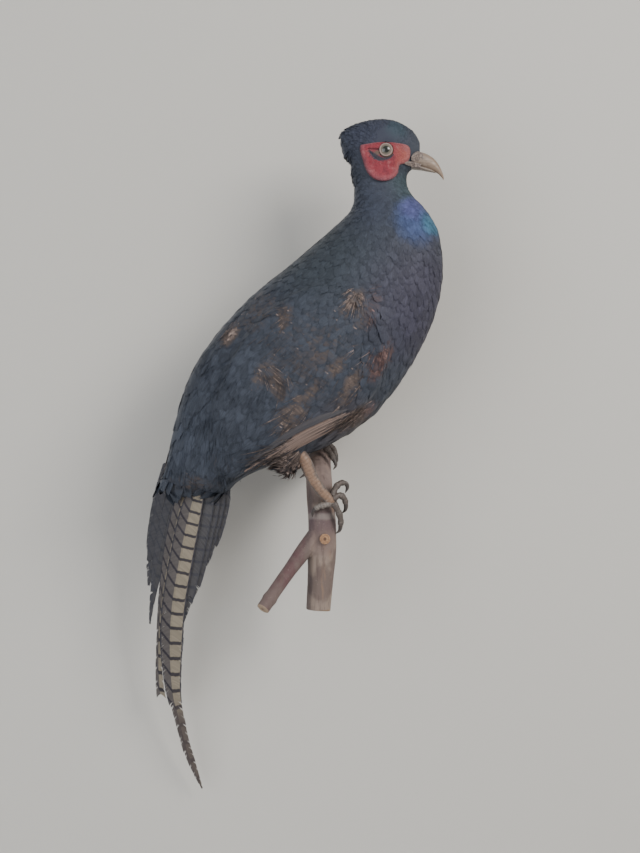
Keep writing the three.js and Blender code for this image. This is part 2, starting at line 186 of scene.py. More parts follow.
def combined(tree, x, y=0.0, z=0.0):
    return new_node(tree, "CombineXYZ", X=x, Y=y, Z=z).outputs[0]


def soft_step(tree, value, low, high, to_low=0.0, to_high=1.0):
    made = new_node(tree, "MapRange", {"interpolation_type": "SMOOTHSTEP"})
    for socket, number in zip(made.inputs[:5], (value, low, high, to_low, to_high)):
        feed(tree, socket, number)
    return made.outputs[0]


def blend(tree, amount, a, b, kind="MIX"):
    made = new_node(tree, "Mix", {"data_type": "RGBA", "blend_type": kind})
    feed(tree, made.inputs[0], amount)
    feed(tree, made.inputs[6], (*a, 1) if isinstance(a, tuple) else a)
    feed(tree, made.inputs[7], (*b, 1) if isinstance(b, tuple) else b)
    return made.outputs[2]


def tinted(tree, colour, value, low, high, most, tint):
    """A colour turned to a tint, at most so much, where a value goes from low to high."""
    return blend(tree, soft_step(tree, value, low, high, 0, most), colour, tint)


def noise(tree, place, scale, detail=3.0, roughness=0.55):
    made = new_node(tree, "TexNoise", Vector=place, Scale=scale, Detail=detail, Roughness=roughness)
    return made.outputs["Fac"]


def cell_distance(tree, place, scale):
    """How far a point lies from the middle of its cell, in a pattern of irregular cells."""
    return new_node(tree, "TexVoronoi", {"feature": "F1"}, Vector=place, Scale=scale).outputs["Distance"]


def bump(tree, shader, height, strength, distance):
    made = new_node(tree, "Bump", Strength=strength, Distance=distance, Height=height)
    feed(tree, shader["Normal"], made.outputs[0])


def object_place(tree):
    return new_node(tree, "TexCoord").outputs["Object"]


def own_map(tree):
    return new_node(tree, "UVMap", {"uv_map": "UVMap"}).outputs[0]


def new_group(name, inputs, outputs):
    """A shader node group with its sockets: inputs is {name: (kind, default)}, outputs is {name: kind}."""
    group = bpy.data.node_groups.new(name, "ShaderNodeTree")
    for key, (kind, value) in inputs.items():
        socket = group.interface.new_socket(key, in_out="INPUT", socket_type="NodeSocket" + kind)
        if value is not None:
            socket.default_value = value
    for key, kind in outputs.items():
        group.interface.new_socket(key, in_out="OUTPUT", socket_type="NodeSocket" + kind)
    start = group.nodes.new("NodeGroupInput")
    end = group.nodes.new("NodeGroupOutput")
    return group, start.outputs, end.inputs


def place_group(tree, group, **inputs):
    made = tree.nodes.new("ShaderNodeGroup")
    made.node_tree = group
    for key, value in inputs.items():
        feed(tree, made.inputs[key.replace("_", " ")], value)
    return made.outputs


def new_material(name):
    made = bpy.data.materials.new(name)
    made.use_nodes = True
    tree = made.node_tree
    return made, tree, tree.nodes["Principled BSDF"].inputs


def attribute(tree, name, output="Fac"):
    return new_node(tree, "Attribute", {"attribute_name": name}).outputs[output]


# %% [markdown]
# ## The colours of the plumage
# Seen close, a dark pheasant isn't black: the crown shines green-blue, the upper breast violet and bright
# blue, the lower breast purple, and the back and rump are a cool slate. The teal over the eye and the violet
# and bright blue of the upper breast are partly the bird's own gloss and partly painted sheen: the glint
# where the lamp's light falls, put into the colour. The skin and all the small feathers share one node group
# that reads a place on the bird, so that a gap between feathers never shows another colour. A feather carries
# the place of its root, and so has one colour of its own with a little chance in it.

# %% Plumage colours
SLATE = (0.037, 0.044, 0.060)
SLATE_GLOSS = 0.04
WANDER = 14 * MM  # how far a patch's edge strays
# Each patch: its middle (x, z) and radius in millimetres, its colour, how much of it, and its metallic gloss.
SHEENS = {
    "crown": ((52, 296), 44, (0.034, 0.039, 0.062), 0.9, 0.06),
    # partly painted sheen: the teal over the eye is also the crown's glint where the lamp's light falls
    "brow": ((72, 297), 14, (0.036, 0.076, 0.092), 0.42, 0.12),
    "throat": ((80, 243), 24, (0.034, 0.070, 0.074), 0.6, 0.06),
    "neck": ((55, 232), 36, (0.036, 0.043, 0.064), 0.8, 0.03),
    "lower breast": ((103, 140), 82, (0.044, 0.040, 0.062), 0.8, 0.02),
    "rump": ((-125, 10), 62, (0.047, 0.056, 0.076), 0.85, 0.03),
    "belly": ((30, 25), 45, (0.056, 0.050, 0.058), 0.8, 0.02),
    "back": ((0, 185), 60, (0.033, 0.042, 0.050), 0.6, 0.02),
    # partly painted sheen: the upper breast's violet and bright blue are its own gloss and also the glint
    # where the lamp's light falls
    "upper breast": ((90, 214), 29, (0.046, 0.074, 0.180), 0.8, 0.20),
    "violet": ((86, 226), 15, (0.075, 0.080, 0.215), 0.7, 0.20),
    "bright blue": ((103, 212), 15, (0.050, 0.165, 0.240), 0.7, 0.25),
}

plumage, given, result = new_group(
    "plumage colours",
    {"Place": ("Vector", None), "Tone": ("Float", 0.5)},
    {"Color": "Color", "Metallic": "Float", "Roughness": "Float"},
)
place_xz = vector(plumage, "MULTIPLY", given["Place"], (1, 0, 1))
wander = new_node(plumage, "TexNoise", {"noise_dimensions": "3D"}, Vector=given["Place"], Scale=45.0)
shifted = vector(plumage, "MULTIPLY_ADD", wander.outputs["Color"], (WANDER,) * 3, place_xz)
colour = SLATE
gloss = SLATE_GLOSS
for middle, radius, tint, amount, metallic in SHEENS.values():
    from_middle = [at * MM + WANDER / 2 for at in (middle[0], 0, middle[1])]
    away = vector(plumage, "DISTANCE", shifted, from_middle)
    share = soft_step(plumage, away, radius * MM, 0.25 * radius * MM, 0, amount)
    colour = blend(plumage, share, colour, tint)
    gloss_mix = new_node(plumage, "Mix", {"data_type": "FLOAT"})
    feed(plumage, gloss_mix.inputs[0], share)
    feed(plumage, gloss_mix.inputs[2], gloss)
    gloss_mix.inputs[3].default_value = metallic
    gloss = gloss_mix.outputs[0]
bright = soft_step(plumage, given["Tone"], 0, 1, 0.86, 1.16)
feed(plumage, result["Color"], scaled(plumage, colour, bright))
feed(plumage, result["Metallic"], gloss)
feed(plumage, result["Roughness"], soft_step(plumage, given["Tone"], 0, 1, 0.68, 0.6))

# %% [markdown]
# A vane is combed: hundreds of fine barbs run from the shaft to the edge, at a slant. Modelling each is
# too much, so a second group draws them as fine ridges across the feather's own map, where u runs over
# the vane and v from root to tip. Strands of a few barbs that cling together run lengthwise.

# %% Barbs
barbs, given, result = new_group(
    "barbs",
    {"UV": ("Vector", None), "Count": ("Float", 40.0), "Slant": ("Float", 0.35), "Seed": ("Float", 0.0)},
    {"Height": "Float", "Strand": "Float", "Streak": "Float"},
)
parts = new_node(barbs, "SeparateXYZ", Vector=given["UV"]).outputs
off_shaft = calculate(barbs, "ABSOLUTE", calculate(barbs, "SUBTRACT", parts["X"], 0.5))
along_barb = calculate(barbs, "SUBTRACT", parts["Y"], times(barbs, off_shaft, given["Slant"]))
ridge_place = combined(barbs, times(barbs, along_barb, given["Count"]), given["Seed"])
streaks = noise(barbs, ridge_place, 1.0, detail=4.0, roughness=0.7)
feed(barbs, result["Streak"], streaks)
strand_place = combined(barbs, times(barbs, parts["X"], 13.0), times(barbs, parts["Y"], 1.3), given["Seed"])
strands = noise(barbs, strand_place, 1.0, detail=3.0, roughness=0.6)
feed(barbs, result["Strand"], strands)
feed(barbs, result["Height"], calculate(barbs, "ADD", streaks, strands))


# %% Wisps
# Worn barbs show as thin wisps that run with the plumage, down and back over the wing.
WISP_SLOPE = math.radians(55)
wisps, given, result = new_group("wisps", {"Place": ("Vector", None)}, {"Wisp": "Float", "Speck": "Float"})
turned = new_node(wisps, "VectorRotate", {"rotation_type": "Y_AXIS"}, Vector=given["Place"], Angle=WISP_SLOPE)
drawn_out = vector(wisps, "MULTIPLY", turned.outputs[0], (1.0, 1.0, 0.11))
feed(wisps, result["Wisp"], noise(wisps, drawn_out, 420.0, detail=3.0, roughness=0.6))
drawn_short = vector(wisps, "MULTIPLY", turned.outputs[0], (1.0, 1.0, 0.3))
feed(wisps, result["Speck"], soft_step(wisps, cell_distance(wisps, drawn_short, 210.0), 0.17, 0.08))


# %% Feather finishes
def feather_finish(name, barb_count):
    """A small dark feather: its root's colour, streaked by its barbs and bleached where it is worn."""
    made, tree, shader = new_material(name)
    tone = attribute(tree, "tone")
    look = place_group(tree, plumage, Place=attribute(tree, "place", "Vector"), Tone=tone)
    seed = times(tree, tone, 97.0)
    comb = place_group(tree, barbs, UV=own_map(tree), Count=barb_count, Slant=0.9, Seed=seed)
    both = times(tree, comb["Streak"], times(tree, comb["Strand"], 2.0))
    streaked = soft_step(tree, both, 0.25, 0.8, 0.68, 1.42)
    shade = scaled(tree, look["Color"], streaked)
    worn = attribute(tree, "wear")
    where = object_place(tree)
    strewn = place_group(tree, wisps, Place=where)
    worn_wisp = times(tree, worn, strewn["Wisp"])
    frayed = soft_step(tree, worn_wisp, 0.12, 0.5)
    bleached = soft_step(tree, worn_wisp, 0.42, 1.05)
    speck = times(tree, strewn["Speck"], soft_step(tree, worn, 0.22, 0.4))
    bleached = calculate(tree, "MAXIMUM", bleached, times(tree, speck, 0.6))
    frayed = calculate(tree, "MAXIMUM", frayed, times(tree, speck, 0.8))
    tan = blend(tree, bleached, (0.080, 0.060, 0.052), (0.42, 0.315, 0.27))
    brick = blend(tree, bleached, (0.086, 0.048, 0.046), (0.40, 0.240, 0.215))
    spot = new_node(tree, "SeparateXYZ", Vector=where).outputs
    tan = tinted(tree, tan, spot["X"], 36 * MM, 50 * MM, 0.9, brick)
    feed(tree, shader["Base Color"], blend(tree, frayed, shade, tan))
    plain = calculate(tree, "SUBTRACT", 1.0, frayed)
    feed(tree, shader["Metallic"], times(tree, look["Metallic"], plain))
    feed(tree, shader["Roughness"], look["Roughness"])
    bump(tree, shader, comb["Height"], 0.5, 0.3 * MM)
    shader["Specular IOR Level"].default_value = 0.32
    return made


def crescent_finish():
    """The tiny blue-black feathers under the eye."""
    made, tree, shader = new_material("blue black feathers under the eye")
    tone = attribute(tree, "tone")
    comb = place_group(tree, barbs, UV=own_map(tree), Count=14.0, Slant=0.8, Seed=times(tree, tone, 31.0))
    colour = blend(tree, tone, (0.016, 0.017, 0.025), (0.036, 0.040, 0.062))
    streaked = soft_step(tree, comb["Streak"], 0.25, 0.75, 0.6, 1.5)
    feed(tree, shader["Base Color"], scaled(tree, colour, streaked))
    shader["Roughness"].default_value = 0.6
    bump(tree, shader, comb["Height"], 0.5, 0.1 * MM)
    return made


def skin_finish():
    """The skin takes the plumage's colours, so that gaps between the feathers stay dark."""
    made, tree, shader = new_material("skin under feathers")
    where = object_place(tree)
    look = place_group(tree, plumage, Place=where, Tone=0.35)
    feed(tree, shader["Base Color"], look["Color"])
    feed(tree, shader["Roughness"], 0.8)
    bump(tree, shader, noise(tree, where, 900.0), 0.4, 0.4 * MM)
    return made


body_feather = feather_finish("dark body feathers", 52.0)
wing_feather = feather_finish("dark wing feathers", 60.0)
crescent_feather = crescent_finish()


# %% [markdown]
# ## The skin
# The flesh comes as a head, neck, trunk, rump, wings and thighs, parted by thin cuts. One skin stands for
# them all: copies are swollen until they touch, remeshed into a single closed surface and smoothed, and
# then drawn in by the depth of the coat, which is a millimetre on the face and three on the body. The
# feathers fill that depth again.

# %% Helpers for meshes
def deselect():
    for thing in bpy.context.view_layer.objects:
        thing.select_set(False)


def make_active(thing):
    deselect()
    thing.select_set(True)
    bpy.context.view_layer.objects.active = thing


def face_outward(thing):
    make_active(thing)
    bpy.ops.object.mode_set(mode="EDIT")
    bpy.ops.mesh.select_all(action="SELECT")
    bpy.ops.mesh.normals_make_consistent(inside=False)
    bpy.ops.object.mode_set(mode="OBJECT")


def new_object(name, places, faces, material, marks=None):
    """An object from lists of corners and faces; marks are numbers for the corners, as {name: (n,)}."""
    mesh = bpy.data.meshes.new(name)
    mesh.from_pydata(places, [], faces)
    for key, values in (marks or {}).items():
        mesh.attributes.new(key, "FLOAT", "POINT").data.foreach_set("value", np.asarray(values, np.float32))
    mesh.materials.append(material)
    made = bpy.data.objects.new(name, mesh)
    bpy.context.scene.collection.objects.link(made)
    face_outward(made)
    return made


def ring_faces(rings, count, closed=True):
    """Quads between neighbouring rings of count corners each; rings is (first, next) starts of the rings."""
    last = count if closed else count - 1
    return [(a + j, a + (j + 1) % count, b + (j + 1) % count, b + j) for a, b in rings for j in range(last)]


def apply_modifier(thing, kind, **settings):
    make_active(thing)
    added = thing.modifiers.new(kind, kind)
    for key, value in settings.items():
        setattr(added, key, value)
    bpy.ops.object.modifier_apply(modifier=added.name)


def joined_copy(names, name):
    """One new object from copies of CAD nodes, with each node's doubles merged."""
    copies = []
    for node_name in names:
        copy = bpy.data.objects.new(name, nodes[node_name].data.copy())
        bpy.context.scene.collection.objects.link(copy)
        copy.data.materials.clear()
        copies.append(copy)
    deselect()
    for copy in copies:
        copy.select_set(True)
    bpy.context.view_layer.objects.active = copies[0]
    if len(copies) > 1:
        bpy.ops.object.join()
    made = bpy.context.object
    made.name = name
    bpy.ops.object.mode_set(mode="EDIT")
    bpy.ops.mesh.select_all(action="SELECT")
    bpy.ops.mesh.remove_doubles(threshold=1e-6)
    bpy.ops.object.mode_set(mode="OBJECT")
    return made


def coordinates(mesh):
    flat = np.empty(len(mesh.vertices) * 3, np.float32)
    mesh.vertices.foreach_get("co", flat)
    return flat.reshape(-1, 3).astype(float)


def move_to(mesh, places):
    mesh.vertices.foreach_set("co", np.asarray(places, np.float32).ravel())
    mesh.update()


def unit(vectors):
    return vectors / np.linalg.norm(vectors, axis=1)[:, None]


def normals_of(mesh):
    flat = np.empty(len(mesh.vertices) * 3, np.float32)
    mesh.vertices.foreach_get("normal", flat)
    return flat.reshape(-1, 3).astype(float)


# %% The skin
FLESH = ["head", "neck", "trunk", "rump"]
FLESH += [f"{part}_{side}" for part in ("thigh", "wing") for side in SIDES]
FLESH += [f"wing_{side}_primaries" for side in SIDES]
SKIN_VOXEL = 1.55 * MM
GROOVE_CLOSING = 3.5 * MM  # swollen by this and drawn back, the skin fills grooves
COAT_DEPTH = [3 * MM, 1.7 * MM, 1.7 * MM, 0.9 * MM]  # on the body, at the neck's two ends, and on the face
COAT_HEIGHT = [205, 235, 250, 262]  # where those depths begin, in z (mm)

skin = joined_copy(FLESH, "skin")
bpy.ops.object.mode_set(mode="EDIT")
bpy.ops.mesh.select_all(action="SELECT")
bpy.ops.transform.shrink_fatten(value=GROOVE_CLOSING)
bpy.ops.object.mode_set(mode="OBJECT")
apply_modifier(skin, "REMESH", mode="VOXEL", voxel_size=SKIN_VOXEL)
apply_modifier(skin, "SMOOTH", factor=0.5, iterations=6)
places = coordinates(skin.data)
move_to(skin.data, places - normals_of(skin.data) * GROOVE_CLOSING)
places = coordinates(skin.data)
height = places[:, 2] / MM
soft = skin.vertex_groups.new(name="soft")
for share in (0.25, 0.5, 0.75, 1.0):
    chosen = np.flatnonzero(height < 262 - 30 * share)
    soft.add([int(i) for i in chosen], share, "REPLACE")
apply_modifier(skin, "SMOOTH", factor=0.5, iterations=90, vertex_group="soft")
apply_modifier(skin, "SMOOTH", factor=0.5, iterations=4)
places = coordinates(skin.data)
height = places[:, 2] / MM
depth = np.interp(height, COAT_HEIGHT, COAT_DEPTH)
move_to(skin.data, places - normals_of(skin.data) * depth[:, None])
skin.data.materials.append(skin_finish())
bpy.ops.object.shade_smooth()
print("skin faces:", len(skin.data.polygons))

bpy.ops.object.mode_set(mode="EDIT")
bpy.ops.mesh.select_all(action="SELECT")
bpy.ops.uv.smart_project(angle_limit=math.radians(66), island_margin=0.004)
bpy.ops.object.mode_set(mode="OBJECT")
skin.data.uv_layers[0].name = "OFBake"
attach(skin, "root")
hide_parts(*FLESH)


# %% [markdown]
# ## The lie of the coat
# Feathers grow backward and overlap like tiles: back over the crown, down the neck, out over the breast
# and then along the wing to the tail. A short table gives the way and the length of the feathers at a few
# places of the side view; between them both are blended, and laid into the surface of the skin.

# %% The lie table
# x, z of the place, the way dx, dz, the length in millimetres and the lift of the tip in degrees
LIE = [
    (93, 283, -0.50, 0.85, 2.6, 16), (84, 300, -0.90, 0.45, 3.2, 19), (70, 309, -0.98, 0.15, 4.0, 17),
    (50, 308, -1.00, -0.15, 4.8, 19), (34, 303, -0.92, -0.40, 6.0, 26), (25, 294, -0.75, -0.66, 7.0, 25),
    (22, 280, -0.45, -0.90, 8.0, 36), (36, 272, -0.60, -0.80, 5.0, 12), (47, 250, -0.30, -0.95, 5.5, 7.5),
    (66, 292, -0.98, -0.10, 3.2, 7.5), (80, 256, -0.45, -0.88, 3.6, 14), (62, 244, -0.20, -0.98, 5.0, 7.5),
    (87, 241, 0.20, -0.98, 8.0, 7.5), (60, 228, -0.10, -1.00, 9.0, 7), (30, 240, -0.10, -1.00, 8.5, 17),
    (26, 262, -0.25, -0.97, 7.5, 30),
    (26, 224, -0.50, -0.86, 11, 8), (0, 200, -0.75, -0.66, 15, 7), (-60, 150, -0.77, -0.64, 19, 7),
    (-107, 97, -0.50, -0.86, 23, 7), (-130, 45, -0.20, -0.98, 30, 7.5), (-145, -10, -0.12, -0.99, 36, 7.5),
    (112, 209, 0.30, -0.95, 14, 7), (119, 172, 0.00, -1.00, 16, 7), (114, 141, -0.25, -0.97, 18, 7),
    (102, 107, -0.45, -0.90, 19, 7), (84, 75, -0.60, -0.80, 20, 7), (55, 37, -0.75, -0.66, 22, 7),
    (15, 8, -0.87, -0.50, 22, 7.5), (-26, -7, -0.92, -0.40, 24, 8), (-61, -18, -0.85, -0.55, 28, 8),
    (-83, -39, -0.50, -0.87, 30, 8), (80, 180, -0.15, -0.99, 14, 7), (60, 200, -0.25, -0.97, 12, 7),
    (50, 130, -0.45, -0.89, 13, 7), (60, 80, -0.60, -0.80, 16, 7), (0, 130, -0.68, -0.73, 13, 7),
    (0, 80, -0.78, -0.62, 15, 7), (-50, 70, -0.68, -0.73, 19, 7), (20, 40, -0.86, -0.50, 20, 7),
    (-90, 60, -0.50, -0.86, 24, 7), (-60, 10, -0.66, -0.75, 27, 7), (-100, 10, -0.30, -0.95, 30, 7.5),
]
lie_table = np.array(LIE, float)
SAME_PLACE = 4  # mm2; nearer than this, a place of the table counts no more
FLATNESS = 0.72  # the coat as a whole, pressed closer than the table says
UNIT_WAY = lie_table[:, 2:4] / np.linalg.norm(lie_table[:, 2:4], axis=1)[:, None]


def lie_at(places):
    """The way (n, 2) in x and z, the length and the lift in radians at places (n, 3)."""
    spots = np.asarray(places)[:, (0, 2)] / MM
    away = ((spots[:, None] - lie_table[None, :, :2]) ** 2).sum(2) + SAME_PLACE
    weight = away ** -2.0
    weight /= weight.sum(1, keepdims=True)
    way = weight @ UNIT_WAY
    way /= np.linalg.norm(way, axis=1)[:, None]
    return way, weight @ lie_table[:, 4] * MM, np.radians(weight @ lie_table[:, 5]) * FLATNESS


# %% Look-up trees for the skin and the solids
def triangles_of(mesh):
    mesh.calc_loop_triangles()
    count = len(mesh.loop_triangles)
    corners, loops = np.empty(count * 3, np.int32), np.empty(count * 3, np.int32)
    mesh.loop_triangles.foreach_get("vertices", corners)
    mesh.loop_triangles.foreach_get("loops", loops)
    return corners.reshape(-1, 3), loops.reshape(-1, 3)


def search_tree(places, corners):
    return BVHTree.FromPolygons([tuple(p) for p in places.tolist()], [tuple(c) for c in corners.tolist()])


skin_places = coordinates(skin.data)
skin_corners, skin_loops = triangles_of(skin.data)
skin_tree = search_tree(skin_places, skin_corners)
skin_uv = np.empty(len(skin.data.loops) * 2, np.float32)
skin.data.uv_layers["OFBake"].data.foreach_get("uv", skin_uv)
skin_uv = skin_uv.reshape(-1, 2)

flesh_places, flesh_corners, flesh_owner = [], [], []
for flesh_name in FLESH:
    flesh_mesh = nodes[flesh_name].data
    owned, _ = triangles_of(flesh_mesh)
    flesh_corners += (owned + len(flesh_places)).tolist()
    flesh_places += coordinates(flesh_mesh).tolist()
    flesh_owner += [flesh_name] * len(owned)
flesh_tree = BVHTree.FromPolygons(flesh_places, flesh_corners)


def nearest(tree, places):
    """The nearest points, the normals there and the triangles of a tree, for places (n, 3)."""
    hits = [tree.find_nearest(place) for place in places.tolist()]
    points = np.array([hit[0][:] for hit in hits])
    return points, np.array([hit[1][:] for hit in hits]), np.array([hit[2] for hit in hits])


def owner_of(place):
    return flesh_owner[flesh_tree.find_nearest(place)[2]]


def inside(outline, x, z):
    """Whether points x, z lie inside an outline of corners, by counting crossings."""
    found = np.zeros(len(x), bool)
    for (x0, z0), (x1, z1) in zip(outline, outline[1:] + outline[:1]):
        crosses = (z0 > z) != (z1 > z)
        with np.errstate(divide="ignore", invalid="ignore"):
            found ^= crosses & (x < (x1 - x0) * (z - z0) / (z1 - z0) + x0)
    return found


# %% [markdown]
# ## Roots
# Each feather needs a root. Points are thrown at the skin, more of them where the feathers are small, and
# then thinned so that no two are closer than the spacing there. That gives the even but irregular cover
# of real plumage.

# %% Scatter the roots
WATTLE_OUTLINE = [
    (38.5, 281.9), (56.2, 284.1), (75.9, 283.3), (83.1, 280.7), (84.2, 273.5), (81.4, 266.6), (74.4, 264.1),
    (72.6, 256.7), (67.6, 251), (59.2, 248.6), (50.8, 250.8), (44.4, 257.7), (40.5, 268.6), (38.1, 277.4),
]
corner_owner = np.array([owner_of(place) for place in skin_places.tolist()])
triangle_owner = corner_owner[skin_corners[:, 0]]
skin_sides = [skin_places[skin_corners[:, k]] for k in range(3)]
skin_facing = np.cross(skin_sides[1] - skin_sides[0], skin_sides[2] - skin_sides[0])
skin_area = 0.5 * np.linalg.norm(skin_facing, axis=1)
skin_middle = sum(skin_sides) / 3


def thin_out(places, gaps):
    """Indices of places so chosen, in order, that each keeps its gap to those chosen before."""
    tree = KDTree(len(places))
    for k, place in enumerate(places.tolist()):
        tree.insert(place, k)
    tree.balance()
    free = np.ones(len(places), bool)
    chosen = []
    for k in range(len(places)):
        if free[k]:
            chosen.append(k)
            for _, other, _ in tree.find_range(places[k].tolist(), gaps[k]):
                free[other] = False
    return np.array(chosen)


def scatter(allowed, spacing, seed, length=None, lift=None):
    """Roots on the allowed triangles, spaced by a share of the feather's length there."""
    chance = np.random.default_rng(seed)
    inner = np.flatnonzero(allowed)
    _, there, _ = lie_at(skin_middle[inner])
    there = there if length is None else np.full(len(inner), length)
    crowd = skin_area[inner] / (spacing * there) ** 2
    picked = inner[chance.choice(len(inner), int(11 * crowd.sum()), p=crowd / crowd.sum())]
    split = chance.random((len(picked), 2))
    split[split.sum(1) > 1] = 1 - split[split.sum(1) > 1]
    share = np.stack([1 - split.sum(1), split[:, 0], split[:, 1]], 1)
    place = np.einsum("nk,nkd->nd", share, skin_places[skin_corners[picked]])
    way, there, raised = lie_at(place)
    there = there if length is None else np.full(len(place), length)
    raised = raised if lift is None else np.full(len(place), lift)
    kept = thin_out(place, there * spacing)
    uv = np.einsum("nk,nkd->nd", share, skin_uv[skin_loops[picked]])
    return {
        "place": place[kept], "normal": unit(skin_facing[picked])[kept], "uv": uv[kept],
        "way": way[kept], "length": there[kept], "lift": raised[kept],
    }


# %% [markdown]
# ## The feathers
# A small feather is modelled once as a flat grid, cut to its outline, given a ragged tip, thickened to a
# thin lens and closed. Copies of it are then laid on the skin: every corner is brought down to the skin
# below it and raised again by the height of the coat there, so that a feather bends round the body and
# covers the roots behind it.

# %% Feather templates
TIP_ROUND = 0.08  # how far the tip's corners lie behind its middle; more would fold them over


def feather_template(name, columns, rows, profile, fray, seed):
    """Arrays of a closed feather of length and width 1: corners x, y, height, faces and the vane map."""
    chance = np.random.default_rng(seed)
    deselect()
    bpy.ops.mesh.primitive_grid_add(x_subdivisions=columns, y_subdivisions=rows, size=1)
    feather = bpy.context.object
    feather.name = name
    flat = coordinates(feather.data)
    across, along = flat[:, 0], flat[:, 1] + 0.5
    vane = np.stack([across + 0.5, along], 1)
    width = np.interp(along, np.linspace(0, 1, len(profile)), profile)
    ragged = chance.uniform(-0.5, 0.5, columns + 1) * fray
    ragged[::2] -= fray
    column = np.rint((across + 0.5) * columns).astype(int)
    tip = along**2 * (ragged[column] - TIP_ROUND * (2 * across) ** 2)
    flat[:, 0] = across * width
    flat[:, 1] = along + tip
    rim = (np.abs(across) > 0.499) | (along < 0.001) | (along > 0.999)
    move_to(feather.data, flat)
    for method, outer in (("FIXED", False), ("FIXED_ALTERNATE", True)):
        bpy.ops.object.mode_set(mode="EDIT")
        bpy.ops.mesh.select_mode(type="FACE")
        bpy.ops.mesh.select_all(action="DESELECT")
        bpy.ops.object.mode_set(mode="OBJECT")
        for face in feather.data.polygons:
            left, lowest = face.center.x < 0, face.center.y < 0.9 / rows
            face.select = len(face.vertices) == 4 and (left != lowest) == outer
        bpy.ops.object.mode_set(mode="EDIT")
        bpy.ops.mesh.quads_convert_to_tris(quad_method=method)
        bpy.ops.object.mode_set(mode="OBJECT")
    full = feather.vertex_groups.new(name="full")
    full.add([int(k) for k in np.flatnonzero(~rim)], 1.0, "REPLACE")
    apply_modifier(feather, "SOLIDIFY", thickness=1.0, offset=0.0, use_rim=False, vertex_group="full")
    bpy.ops.object.mode_set(mode="EDIT")
    bpy.ops.mesh.select_all(action="SELECT")
    bpy.ops.mesh.remove_doubles(threshold=1e-5)
    bpy.ops.mesh.normals_make_consistent(inside=False)
    bpy.ops.object.mode_set(mode="OBJECT")
    made = coordinates(feather.data)
    source = np.linalg.norm(made[:, None, :2] - flat[None, :, :2], axis=2).argmin(1)
    faces = np.array([list(face.vertices) for face in feather.data.polygons])
    bpy.data.objects.remove(feather)
    return {
        "corner": made, "source": source, "flat": flat[:, :2], "rise": vane[:, 1], "vane": vane[source],
        "faces": faces,
    }


def template_set(name, columns, rows, profile, fray, count=5):
    return [feather_template(f"{name} {k}", columns, rows, profile, fray, 10 + k) for k in range(count)]


ROUND = [0.30, 0.72, 0.95, 1.0, 0.96, 0.80, 0.50]
SILKY = [0.30, 0.68, 0.92, 1.0, 0.94, 0.74, 0.42]
STRAGGLY = [0.30, 0.60, 0.85, 1.0, 0.9, 0.62, 0.26]
SMALL = template_set("face feather", 4, 3, ROUND, 0.06)
MIDDLE = template_set("neck feather", 6, 3, SILKY, 0.07)
LARGE = template_set("body feather", 6, 5, SILKY, 0.07)
LOOSE = template_set("rump feather", 6, 6, STRAGGLY, 0.10)
STRAND = template_set("loose strand", 2, 6, [0.5, 0.9, 1.0, 0.8, 0.55, 0.15], 0.0)
print("template faces:", [len(kind[0]["faces"]) for kind in (SMALL, MIDDLE, LARGE, LOOSE)])


# %% Worn patches
# worn, bleached patches: x, z of the middle, half the length and width, the slope in degrees and how strong
WORN = [
    (30, 135, 16, 8, 52, 1.15), (50, 136, 14, 10, 40, 0.5), (40, 122, 18, 12, 60, 0.75),
    (57, 84, 20, 8, 62, 1.15),
    (-36, 64, 22, 7, 105, 1.15), (-50, 72, 14, 9, 60, 1.0), (-79, 108, 13, 6, 50, 1.3),
    (-30, 122, 16, 8, 75, 0.95),
    (-24, 36, 28, 12, 55, 1.0), (-8, 52, 26, 8, 55, 0.9), (28, 62, 22, 8, 62, 1.0),
    (36, 34, 22, 8, 35, 1.15),
    (-6, 90, 56, 40, 55, 0.55), (-56, 128, 36, 18, 50, 0.62), (-144, -8, 18, 6, 75, 1.0),
    (16, 78, 18, 7, 55, 0.85),
    (-114, -26, 12, 34, 90, 0.6),
]


def worn_at(places):
    """How worn the plumage is at places (n, 3)."""
    x, z = places[:, 0] / MM, places[:, 2] / MM
    total = np.zeros(len(places))
    for at_x, at_z, half_length, half_width, slope, amount in WORN:
        ahead = np.array([math.cos(math.radians(slope)), math.sin(math.radians(slope))])
        along = (x - at_x) * ahead[0] + (z - at_z) * ahead[1]
        aside = (z - at_z) * ahead[0] - (x - at_x) * ahead[1]
        total = np.maximum(total, amount * np.exp(-((along / half_length) ** 2) - (aside / half_width) ** 2))
    return total


# %% Lay feathers on the skin
FEATHER_THICKNESS = 0.014  # of its width
TIP_DIP = 0.24  # how far the tip bends down again onto the feathers under it, as a share of the length
SOFT_NORMALS = 0.7  # how much of the skin's own facing a feather takes in its shading
PATCH = 0.003  # the size of one feather's patch on the bake map


def laid_places(tree, points, pull_limit, normals, ahead, heights):
    """Points brought down to the tree's surface, no further than the limit, then raised along its normal."""
    hits, hit_normals, _ = nearest(tree, points)
    pull = hits - points
    size = np.linalg.norm(pull, axis=1)
    pull *= np.minimum(1, pull_limit / np.maximum(size, 1e-9))[:, None]
    flipped = (hit_normals * normals).sum(1) < 0
    hit_normals[flipped] = normals[flipped]
    upward = 0.4 * normals + 0.6 * hit_normals
    lean = (upward * ahead).sum(1)
    upward = unit(upward + ahead * (np.clip(lean, -0.3, 0.3) - lean)[:, None])
    return points + pull + upward * heights[:, None], upward


